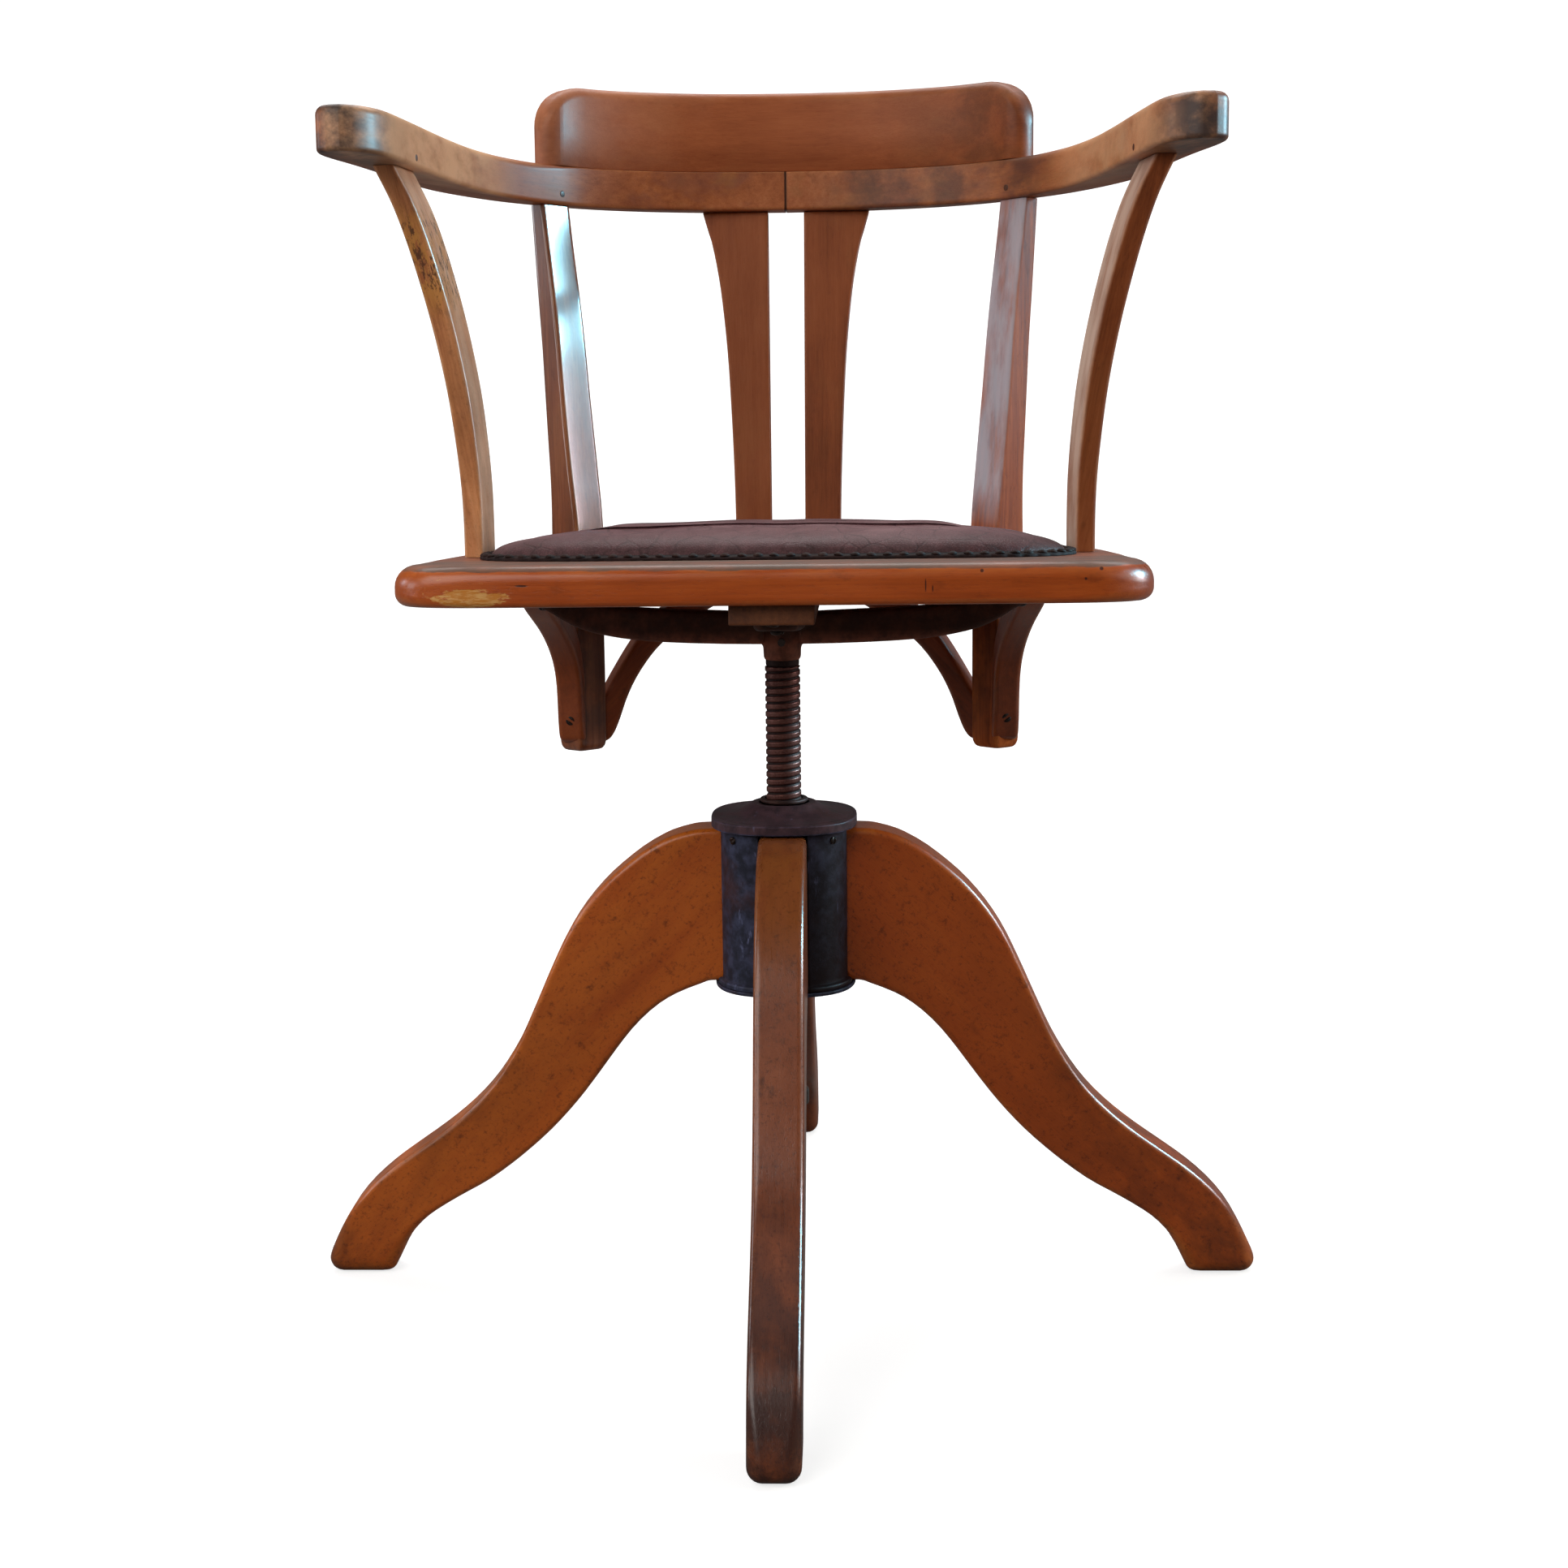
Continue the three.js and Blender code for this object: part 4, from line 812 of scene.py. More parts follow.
def hub_warm(q):
    return 0.7 * np.clip((q[:, 2] - FLANGE_Z0 - 0.3) / 1.0, 0, 1)


make("hub_body_casting", merge(hub_body, hub_flange, hub_cone), hub_iron, "base", ["hub_casting"], sharp=34, dirt_and_shade=hub_right_painted_shade, fade_and_light=hub_warm)
make("hub_base_plate", board(outline(bulged(PLATE_HALF), corner=0, turn_deg=4), PLATE_Z0, HUB_BODY_Z0 - 0.1, 0.5, 0.8, seg=3, bore=13.2),
     hub_iron, "base", ["hub_bottom_plate"], sharp=34)
make("hub_seat_washer", turned([[SPINDLE_R + 0.6, HUB_TOP_Z + GAP], [16.0, HUB_TOP_Z + GAP], [16.0, HUB_TOP_Z + 2.9],
                                [SPINDLE_R + 0.6, HUB_TOP_Z + 2.9], [SPINDLE_R + 0.6, HUB_TOP_Z + GAP]], 72, r=1.1), screw_brown, "washer", ["spindle_washer"], sharp=30)


def slotted_head(head_r, head_h, slot=0.9, depth=0.9):
    """Domed screw head with a driver slot, its underside at z = 0, plus a short shank."""
    n = 40
    rings, edge = [], []
    th = np.arange(n) * 2 * math.pi / n
    prof = [(0.52 * head_r, -1.6), (0.52 * head_r, 0.0), (head_r * 0.97, 0.0), (head_r, 0.25)]
    for k in range(1, 7):
        a = rad(90 * k / 7)
        prof.append((head_r * (0.35 + 0.65 * math.cos(a)), 0.25 + (head_h - 0.25) * math.sin(a)))
    prof += [(head_r * 0.30, head_h), (head_r * 0.12, head_h)]
    pts = []
    for r, z in prof:
        p = np.column_stack([r * np.cos(th), r * np.sin(th), np.full(n, float(z))])
        if z > 0.25:
            inside = np.clip((slot * 1.25 - np.abs(p[:, 1])) / (slot * 0.5), 0, 1)
            p[:, 2] = np.maximum(p[:, 2] - depth * inside, 0.2)
        pts.append(p)
    v, f, e = loft(pts)
    return v, f, e


def place_fastener(name, node, body, centre, direction, head_r, head_h, leaning=False, mirror=False, spin=0.0):
    """centre is the seating face of the head, direction points out of the work."""
    v, f, e = slotted_head(head_r, head_h)
    v = about_z(v, spin)
    d = np.asarray(direction, float)
    d = d / np.linalg.norm(d)
    up = np.array([0, 0, 1.0]) if abs(d[2]) < 0.9 else np.array([1.0, 0, 0])
    a = np.cross(up, d)
    a /= np.linalg.norm(a)
    b = np.cross(d, a)
    v = np.asarray(centre, float) + v[:, :1] * a + v[:, 1:2] * b + v[:, 2:] * d
    return make(name, (v, f, e), screw_metal, body, [node], leaning=leaning, mirror=mirror, sharp=32)


facet = HUB_HALF * 2 ** (0.5 - 1 / HUB_POWER)
for i, (name, deg) in enumerate((("front_left", 225), ("front_right", 315), ("rear_right", 45), ("rear_left", 135))):
    d = np.array([math.cos(rad(deg)), math.sin(rad(deg)), 0])
    place_fastener("hub_fixing_" + name, "hub_screw_" + name, "base", d * (facet + 0.05) + np.array([0, 0, 309.4]), d, 2.6, 1.4, spin=23 + 61 * i)
    place_fastener("plate_fixing_" + name, "plate_screw_" + name, "base", d * 30 + np.array([0, 0, PLATE_Z0 - 0.05]), (0, 0, -1), 4.1, 2.0, spin=12 + 47 * i)


# ---------------------------------------------------------------- screw
def thread(r, depth, z0, z1, pitch, n=56, levels=12):
    """Right-hand screw thread as one closed skin."""
    dz = pitch / levels
    rows = int(math.ceil((z1 - z0) / dz)) + 2 * levels + 2
    verts, edge = [], []
    for i in range(n):
        th = 2 * math.pi * i / n
        for m in range(rows):
            z = z0 - pitch + m * dz + pitch * i / n
            ph = (m % levels) / levels
            # flat crest, sloped flanks and a flat root
            if ph < 0.52:
                h = 1.0
            elif ph < 0.66:
                h = 1 - (ph - 0.52) / 0.14
            elif ph < 0.84:
                h = 0.0
            else:
                h = (ph - 0.84) / 0.16
            zc = min(max(z, z0), z1)
            rr = r - depth * (1 - h)
            if z <= z0 or z >= z1:
                rr = r - depth
            verts.append((rr * math.cos(th), rr * math.sin(th), zc))
            edge.append(h)
    faces = []
    for i in range(n - 1):
        for m in range(rows - 1):
            a, b = i * rows + m, (i + 1) * rows + m
            faces.append((a, b, b + 1, a + 1))
    for m in range(rows - 1 - levels):
        a, b = (n - 1) * rows + m, m + levels
        faces.append((a, b, b + 1, a + 1))
    verts = np.array(verts, float)
    return verts, faces, np.array(edge, float)


def screw_mesh():
    import bmesh
    v, f, e = thread(SPINDLE_R, 0.85, 131.0, 421.0, THREAD_PITCH)
    me = bpy.data.meshes.new("threaded_spindle")
    me.from_pydata((v * MM).tolist(), [], f)
    a = me.attributes.new("edge", "FLOAT", "POINT")
    a.data.foreach_set("value", e.astype(np.float32))
    bm = bmesh.new()
    bm.from_mesh(me)
    bmesh.ops.remove_doubles(bm, verts=bm.verts, dist=2e-6)
    bmesh.ops.dissolve_degenerate(bm, edges=bm.edges, dist=1e-7)
    loose = [x for x in bm.verts if not x.link_faces]
    bmesh.ops.delete(bm, geom=loose, context="VERTS")
    bmesh.ops.holes_fill(bm, edges=[x for x in bm.edges if x.is_boundary], sides=0)
    bmesh.ops.recalc_face_normals(bm, faces=bm.faces)
    bm.to_mesh(me)
    bm.free()
    # plain ends: the journal in the boss and the stem that carries the end stop
    layer = me.attributes.get("edge")
    ev = np.zeros(len(me.vertices), np.float32)
    layer.data.foreach_get("value", ev)
    co = np.zeros(len(me.vertices) * 3, np.float32)
    me.vertices.foreach_get("co", co)
    faces = [tuple(p.vertices) for p in me.polygons]
    bpy.data.meshes.remove(me)
    body = (co.reshape(-1, 3).astype(float) / MM, faces, ev.astype(float))
    stem = turned([[0, SPINDLE_Z0], [7.1, SPINDLE_Z0], [7.1, 129.6], [10.2, 130.2], [10.2, 131.4], [0, 131.4]], 48, r=0.5)
    top = turned([[0, 420.6], [10.4, 420.6], [11.1, 422.4], [11.1, 451.0], [10.1, 452.0], [0, 452.0]], 48, r=0.4)
    return merge(body, stem, top)


make("threaded_spindle", screw_mesh(), thread_steel, "seat", ["screw_spindle"], sharp=50)
make("spindle_stop_collar", turned([[7.4, SPINDLE_Z0 + 0.6], [14, SPINDLE_Z0 + 0.6], [14.8, SPINDLE_Z0 + 1.6], [14.8, SPINDLE_Z0 + 10.4],
                                    [14, SPINDLE_Z0 + 11.4], [7.4, SPINDLE_Z0 + 11.4], [7.4, SPINDLE_Z0 + 0.6]], 64, r=0.6), steel, "seat", ["spindle_end_stop"], sharp=30)

# ---------------------------------------------------------------- spider
def spider_part():
    side = spline([[12, 457.2, 436.1, 29], [22, 457.0, 436.2, 28], [40, 457.8, 436.4, 25], [66, 458.8, 437.2, 24], [92, 460.2, 438.9, 23],
                   [112, 461.8, 441.6, 22], [130, 464.4, 446.0, 22], [143, 467.2, 452, 23], [151, PLANK_Z0 - GAP, 457, 24],
                   [160, PLANK_Z0 - GAP, 461.5, 24], [168.5, PLANK_Z0 - GAP, 464, 21]], 5)
    rings = [ring_at((x, 0, (t + b) / 2), (0, 1, 0), (0, 0, 1), w / 2, (min(t, PLANK_Z0 - GAP) - b) / 2, 3.4, 4) for x, t, b, w in side]
    right = loft(rings)
    right = (lean(right[0]), right[1], right[2])
    left = (lean(loft(rings)[0] * np.array([-1, 1, 1])), [tuple(reversed(q)) for q in right[1]], right[2])
    end = spline([[10, 448.5, 34], [40, 448.5, 34], [80, 449.5, 31], [102, 451, 27], [108, 452, 22], [110, 453, 17]], 4)
    top = BATTEN_Z0 - GAP
    er = [ring_at((0, y, (top + b) / 2), (-1, 0, 0), (0, 0, 1), w / 2, (top - b) / 2, 3, 4) for y, b, w in end]
    rear = loft(er)
    front = (lean(rear[0] * np.array([-1, -1, 1])), rear[1], rear[2])
    rear = (lean(rear[0]), rear[1], rear[2])
    boss = turned([[0, 425.2], [12.4, 425.2], [12.7, 436], [13.6, 444], [16.2, 451], [20, 457], [0, 457]], 64, r=1.2)
    return merge(right, left, rear, front, boss)


spider = make("spider_iron_casting", spider_part(), spider_iron, "seat", ["spider_casting"], sharp=40)
remesh = spider.modifiers.new("cast", "REMESH")
remesh.mode = "VOXEL"
remesh.voxel_size = 0.0014
remesh.use_smooth_shade = True
soften_mod = spider.modifiers.new("soft", "SMOOTH")
soften_mod.factor = 0.5
soften_mod.iterations = 4


def apply_modifiers(ob):
    bpy.context.view_layer.update()
    dg = bpy.context.evaluated_depsgraph_get()
    me = bpy.data.meshes.new_from_object(ob.evaluated_get(dg), preserve_all_data_layers=True, depsgraph=dg)
    old = ob.data
    ob.modifiers.clear()
    ob.data = me
    me.name = old.name + "_m"
    bpy.data.meshes.remove(old)
    return me


def write_attributes(me, grain=None, edge=None, dirt_and_shade=None, fade_and_light=None):
    n = len(me.vertices)
    co = np.zeros(n * 3, np.float32)
    me.vertices.foreach_get("co", co)
    co = co.reshape(-1, 3)
    for key, kind, field, value in (("grain", "FLOAT_VECTOR", "vector", co if grain is None else grain(co)),
                                    ("edge", "FLOAT", "value", np.zeros(n) if edge is None else edge(co)),
                                    ("dirt_and_shade", "FLOAT", "value", np.zeros(n) if dirt_and_shade is None else dirt_and_shade(co)),
                                    ("fade_and_light", "FLOAT", "value", np.zeros(n) if fade_and_light is None else fade_and_light(co))):
        a = me.attributes.get(key)
        if a is not None:
            me.attributes.remove(a)
        a = me.attributes.new(key, kind, "POINT")
        a.data.foreach_set(field, np.asarray(value, np.float32).ravel())


me = apply_modifiers(spider)
write_attributes(me, fade_and_light=lambda q: np.clip((0.446 - q[:, 2]) / 0.010, 0, 1))
me.shade_smooth()

for i, (tag, x, y, z, r) in enumerate((("spider_screw_left", -157, 0, 461.2, 4.3), ("spider_screw_right", 157, 0, 461.2, 4.3),
                                       ("spider_screw_front", 0, -92, 450.0, 4.3), ("spider_screw_rear", 0, 92, 450.0, 4.3),
                                       ("batten_screw_front", 0, -168, BATTEN_Z0, 4.1), ("batten_screw_rear", 0, 164, BATTEN_Z0, 4.1))):
    place_fastener("fixing_" + tag, tag, "seat", (x, y, z - 0.1), (0, 0, -1), r, 2.2, leaning=True, spin=30 + 50 * i)

# ---------------------------------------------------------------- batten and seat plank
bx, by = 25.0, 186.0
batten_shape = outline([[-bx, -by - 2], [bx, -by - 2], [bx, by - 2], [-bx, by - 2]], corner=1.0)
make("seat_batten_bar", board(batten_shape, BATTEN_Z0, PLANK_Z0 - GAP, 0.5, 1.2, seg=3), batten_wood, "seat", ["seat_batten"],
     grain=frame_of((0, 1, 0)), leaning=True)

plank_half = [
    [0, -199.5], [60, -200.5], [120, -201], [165, -200.5], [192, -198], [209, -190.5], [219, -178], [223, -161],
    [222, -140], [219.5, -110], [218, -70], [217, -30], [215.5, 2], [212.5, 35], [206.5, 68], [196, 98],
    [179, 125], [156, 148], [126, 166.5], [90, 179.5], [48, 188], [0, 190.5]]
ph = spline(plank_half)
plank_shape = outline(np.vstack([ph, (ph[::-1] * [-1, 1])[1:-1]]), corner=0, turn_deg=3, longest=7)
ends = np.clip((np.abs(plank_shape[0][:, 0]) - 175) / 40, 0, 1) * np.clip((-90 - plank_shape[0][:, 1]) / 50, 0, 1)
v, f, e = board(plank_shape, PLANK_Z0, PLANK_Z1, 9.0 + 4.0 * ends, 4.0 + 3.5 * ends, seg=7)
plank = make("seat_board", (v, f, e * 0.8), plank_wood, "seat", ["seat_plank"], grain=frame_of((1, 0, 0)), leaning=True,
             dirt_and_shade=lambda q: 0.35 * np.clip((-150 - q[:, 1]) / 50, 0, 1) * np.clip((np.abs(q[:, 0]) - 190) / 30, 0, 1))
a = plank.data.attributes.new("topside", "FLOAT", "POINT")
a.data.foreach_set("value", np.clip((v[:, 2] - (PLANK_Z1 - 5.5)) / 5.5, 0, 1).astype(np.float32))

# ---------------------------------------------------------------- rear posts
post_stations = [
    [351, 148.6, 125.4, 18, 14.5], [355.5, 148.6, 125.4, 25, 20.6], [366, 148.6, 125.4, 26.4, 22.6], [405, 148.8, 125.4, 26.6, 23.6],
    [445, 149.2, 125.6, 26.6, 24.6], [472, 149.4, 125.8, 26.6, 27], [500, 149.4, 126, 26.8, 28.2], [524, 149.8, 126.1, 27.6, 25.5],
    [548, 151, 126.8, 28.2, 22.5], [575, 152.8, 127.8, 28.2, 20.8], [605, 154.8, 129, 27.6, 19.4], [640, 157, 130.4, 27, 18.2],
    [675, 159.8, 131.9, 26.4, 17], [710, 162.8, 133.6, 26, 14.5], [RAIL_Z0 - GAP, 164.8, 134.6, 26, 12.8]]
post_woods = {"left": post_wood,
              "right": wood("post_wood_weathered_and_sheen", dark=lin(108, 48, 16), mid=lin(156, 76, 28), light=lin(184, 98, 42), worn_and_sheen=lin(200, 132, 80), speck=0.7, streak=1.9, rough=0.50, coat=0.0,
                            coat_rough=0.3, spec=0.10, fade_and_light_col=(184, 188, 200), patina=0.12)}
ra = rad(41.5)
across, along = np.array([math.cos(ra), math.sin(ra), 0]), np.array([-math.sin(ra), math.cos(ra), 0])
st = spline(post_stations[2:], 5)
rings = []
for d in (0, 0.6, 1.6, 3.0, 4.8, 7.0, 10.0):
    k = 6.5 * (1 - math.sqrt(max(0, 1 - (1 - min(d, 7.0) / 7.0) ** 2)))
    w, t = 26.4 - 1.15 * k, 22.6 - 1.15 * k
    rings.append(ring_at((148.6, 125.4, 351 + d), across, along, t / 2, w / 2, 2.6, 4))
for z, x, y, w, t in st:
    if z > 362:
        rings.append(ring_at((x, y, z), across, along, t / 2, w / 2, 2.4, 4))
post_part = loft(rings, rrect(10, 10, 2.4, 4)[1])
for side, mir in (("right", False), ("left", True)):
    # The inner face of the right post is mixed towards bluish grey above the seat: partly weathered wood, partly
    # painted reflection of the window on the left.
    def weathered_and_sheen(q, full=0.0 if mir else 0.88):
        line = np.interp(q[:, 2], [s_[0] for s_ in post_stations], [s_[1] for s_ in post_stations])
        liny = np.interp(q[:, 2], [s_[0] for s_ in post_stations], [s_[2] for s_ in post_stations])
        side_ = (q[:, 0] - line) * across[0] + (q[:, 1] - liny) * across[1]
        half = np.interp(q[:, 2], [s_[0] for s_ in post_stations], [s_[4] / 2 for s_ in post_stations])
        return full * np.clip((-side_ - half + 1.8) / 1.0, 0, 1) * np.clip((q[:, 2] - 505) / 30, 0, 1)
    # Painted shade: each back post is darkened below the seat board, in the board's shadow.
    make("back_post_" + side, post_part, post_woods[side], "seat", ["rear_post_" + side], grain=frame_of((0, 0, 1), tuple(across)), leaning=True, mirror=mir, fade_and_light=weathered_and_sheen,
         dirt_and_shade=lambda q: 0.55 * np.clip((468 - q[:, 2]) / 20, 0, 1) * np.clip((q[:, 2] - 352) / 14, 0, 1))

# ---------------------------------------------------------------- braces
rear_profile = np.vstack([
    spline([[-6, 355], [4, 356.5], [9.6, 362], [14.6, 373], [19.4, 386], [25.5, 398.5], [33, 410], [42.5, 421.5],
            [54, 431.5], [68, 441], [83, 449.5], [98, 457], [110, 463.5], [114, PLANK_Z0 - GAP]]),
    spline([[74, PLANK_Z0 - GAP], [60, 458.5], [48, 450], [37.5, 440], [28, 429.5], [20, 418], [12, 405.4], [3, 391], [-6, 383]])])
front_profile = np.vstack([
    spline([[-6, 356], [4.6, 359.5], [8.4, 370], [9.6, 384], [11.8, 400], [17.4, 412.5], [27.4, 423.5], [41, 433.5], [56, 442],
            [72, 449.5], [88, 457], [98, 464], [101, PLANK_Z0 - GAP]]),
    spline([[62, PLANK_Z0 - GAP], [50, 461], [36, 452], [21, 441.5], [9, 428], [0, 408], [-6, 398]])])
for which, prof, at, direction, s0, zs in (("rear", rear_profile, (138.6, 137), (-0.93, 0.367), 12.4, 371),
                                           ("front", front_profile, (154.4, 115.4), (0.135, -0.991), 7.4, 374)):
    v, f, e = board(outline(prof, corner=1.2, longest=6), -9.5, 9.5, 3.2, 3.2, seg=4)
    an = math.atan2(direction[1], direction[0])
    c, sn = math.cos(an), math.sin(an)
    w = np.column_stack([v[:, 0] * c + v[:, 2] * sn + at[0], v[:, 0] * sn - v[:, 2] * c + at[1], v[:, 1]])
    for side, mir in (("right", False), ("left", True)):
        make(f"curved_brace_{side}_{which}", (w, f, e), brace_wood, "seat", [f"brace_{side}_{which}"],
             grain=frame_of((c * 0.72, sn * 0.72, 0.69), (sn, -c, 0)), leaning=True, mirror=mir)
        place_fastener(f"brace_fixing_{side}_{which}", f"brace_screw_{side}_{which}", "seat",
                       (at[0] + direction[0] * (s0 + 0.05), at[1] + direction[1] * (s0 + 0.05), zs), (direction[0], direction[1], 0), 3.8, 2.0,
                       leaning=True, mirror=mir, spin=35)

# ---------------------------------------------------------------- splats
so = spline([[38.6, PLANK_Z1 + GAP], [38.7, 514], [39.2, 540], [40.2, 570], [41.4, 598], [43, 628], [45.4, 657], [48.8, 686],
             [53.6, 712], [57.2, 724], [60.5, RAIL_Z0 - GAP]])
v, f, e = board(outline(np.vstack([[[12.2, PLANK_Z1 + GAP]], so, [[13, RAIL_Z0 - GAP]]]), corner=0.4), -5.5, 5.5, 1.5, 1.5, seg=3)
w = np.column_stack([v[:, 0], -v[:, 2] + 11 / 240 * v[:, 1] + 180 - 11 / 240 * PLANK_Z1, v[:, 1]])
for side, mir in (("right", False), ("left", True)):
    make("back_splat_" + side, (w, f, e), splat_wood, "seat", ["splat_" + side], grain=frame_of((0, 0, 1), (0, 1, 0)), leaning=True, mirror=mir)

# ---------------------------------------------------------------- arm posts
arm_stations = spline([
    [PLANK_Z1 + GAP, 192, -42, 13, 26], [522, 192, -42.8, 13, 26.4], [545, 192.7, -44, 13.4, 27], [570, 194.6, -45.8, 13.8, 28],
    [596, 197.4, -48, 14.2, 29], [620, 201.1, -50.6, 14.4, 30], [644, 205.7, -53.6, 14.5, 31.4], [668, 211.2, -57, 14.5, 33],
    [692, 217.6, -60.6, 14.4, 34.6], [714, 225, -63.8, 14.2, 36], [RAIL_Z0 - GAP, 235, -67, 14, 37]], 5)
aa = rad(8.9)
u, w = np.array([math.cos(aa), math.sin(aa), 0]), np.array([-math.sin(aa), math.cos(aa), 0])
arm_post = loft([ring_at((x, y, z), u, w, a / 2, b / 2, 2.4, 4) for z, x, y, a, b in arm_stations], rrect(10, 10, 2.4, 4)[1])
def post_chips(t, col, r, h, g):
    """Varnish rubbed through to golden wood under the arm, with dark flecks beside it."""
    pos = t.new("TexCoord").outputs["Object"]
    xyz = t.new("SeparateXYZ")
    t.put(xyz.inputs[0], pos)
    z = xyz.outputs[2]
    zone = t.math("MULTIPLY", t.span(z, 0.640, 0.668), t.span(z, 0.700, 0.722, 1.0, 0.0))
    gold = t.span(t.noise(t.scaled(g, (50, 190, 190)), detail=5, rough=0.7), 0.42, 0.56)
    dark = t.span(t.noise(t.scaled(g, (120, 330, 330)), detail=5, rough=0.72), 0.52, 0.60)
    col = t.mix(t.math("MULTIPLY", t.math("MULTIPLY", zone, gold), 0.62), col, lin(196, 136, 62))
    col = t.mix(t.math("MULTIPLY", t.math("MULTIPLY", zone, dark), 0.80), col, lin(58, 32, 20))
    h = t.math("SUBTRACT", h, t.math("MULTIPLY", t.math("MULTIPLY", zone, dark), 0.8))
    return col, r, h


arm_post_wood = {
    "left": wood("arm_post_wood_left", dark=lin(156, 90, 48), mid=lin(206, 134, 82), light=lin(222, 158, 106), worn_and_sheen=lin(228, 176, 128), speck=0.6, streak=1.1, rough=0.38, coat=0.25,
                 coat_rough=0.22, fade_and_light_col=(242, 208, 178), patina=0.25, pepper=0.4, wear_and_sheen=0.6, extra=post_chips),
    "right": wood("arm_post_wood_right", dark=lin(98, 48, 24), mid=lin(134, 70, 36), light=lin(158, 90, 52), worn_and_sheen=lin(196, 140, 100), speck=0.6, streak=1.1, rough=0.46, coat=0.04,
                  coat_rough=0.3, spec=0.13, fade_and_light_col=(220, 196, 178), patina=0.2, wear_and_sheen=0.5)}
for side, mir in (("right", False), ("left", True)):
    def inner_side(q, full=0.95 if mir else 0.85):
        line = np.interp(q[:, 2], [z for z, *_ in arm_stations[:, :1].tolist()], arm_stations[:, 1])
        return full * np.clip((line - q[:, 0] - 3.0) / 2.5, 0, 1)
    make("arm_support_" + side, arm_post, arm_post_wood[side], "seat", ["arm_post_" + side], grain=frame_of((0.18, -0.1, 1), tuple(u)), leaning=True, mirror=mir, fade_and_light=inner_side,
         dirt_and_shade=lambda q, full=0.26 if mir else 0.0: full * np.clip((655 - q[:, 2]) / 70, 0, 1))

# ---------------------------------------------------------------- arm rail
rail_inner = spline([
    [-12, 178.9], [0.2, 178.7], [30, 177.6], [60, 174.4], [90, 167.6], [117, 158], [140, 144.5], [156, 129.5], [170, 111], [181, 93],
    [190.5, 74], [198, 52], [204.5, 26], [211, -12], [216.5, -52], [221.5, -88], [226, -115], [232, -131], [241, -142], [250, -146.5]])
rail_outer = spline([
    [258, -145.5], [264.5, -140], [267, -129], [264.5, -112], [260, -94], [255, -72], [249.5, -44], [244.5, -14], [239.5, 16],
    [233.5, 40], [225.5, 60], [216, 79], [206, 96], [195, 112], [181.5, 127.5], [163, 146], [139, 164.5], [110, 179.5], [76, 190.5],
    [40, 197.5], [0.2, 200], [-12, 200.3]])
rail_shape = outline(np.vstack([rail_inner, rail_outer]), corner=0, turn_deg=4, longest=7)
facing_in = (rail_shape[0] * rail_shape[1]).sum(1) < 0
under_crest = np.clip((172 - np.abs(rail_shape[0][:, 0])) / 26, 0, 1)
rail_round = 5.0 - 3.9 * under_crest * facing_in
v, f, e = board(rail_shape, RAIL_Z0, RAIL_Z1, rail_round, 2.6, seg=5)
v = v.copy()
v[:, 0] = np.maximum(v[:, 0], 0.2)


def handled_and_shade(q):
    d = np.hypot(np.abs(q[:, 0]) - 252, q[:, 1] + 128)
    out = np.clip(1.25 - d / 40, 0, 1)
    band_ = np.clip((-40 - q[:, 1]) / 90, 0, 1) * 0.35
    # Painted shade over the rear of the right rail's inner face, which faces away from the brighter right side; the arm
    # ends and front band are handling dirt.
    behind_shade = 0.66 * np.clip((q[:, 0] - 8) / 50, 0, 1) * np.clip((q[:, 1] - 95) / 30, 0, 1)
    return np.maximum(np.maximum(out, band_), behind_shade)


# Sun-faded tan on the rail's inner face towards the front; the left rail gets double strength, and that extra is
# painted light.
def sunned_and_lit(q, full=1.0):
    inner = np.clip((1.5 - np.hypot(q[:, 0] - np.interp(q[:, 1], [-150, -115, 26, 93, 130], [250, 226, 204, 181, 156]), 0) / 12), 0, 1)
    return full * inner * np.clip((95 - q[:, 1]) / 50, 0, 1)


for side, mir in (("right", False), ("left", True)):
    make("arm_rail_" + side, (v, f, e), arm_wood, "seat", ["arm_" + side], grain=frame_of((0.61, -0.79, 0)), leaning=True,
         mirror=mir, dirt_and_shade=handled_and_shade, fade_and_light=lambda q, full=1.0 if mir else 0.5: sunned_and_lit(q, full), weld=True)

for side, mir in (("right", False), ("left", True)):
    for tag, x, y, z, d in (("front", 219.4, -72, 741.5, (-0.988, -0.139)), ("rear", 155.4, 130.2, 743.5, (-0.755, -0.656))):
        pv, pf, pe = turned([[0, -6], [2.3, -6], [2.3, 0.0], [1.9, 0.35], [0, 0.45]], 28, r=0.3)
        dd = np.array([d[0], d[1], 0.0])
        dd /= np.linalg.norm(dd)
        a1 = np.cross((0, 0, 1), dd)
        pv = np.array([x, y, z]) + pv[:, :1] * a1 + pv[:, 1:2] * np.array([0, 0, 1.0]) + pv[:, 2:] * dd
        make(f"rail_peg_{side}_{tag}", (pv, pf, pe), plug_wood, "seat", [f"rail_plug_{side}_{tag}"], leaning=True, mirror=mir)

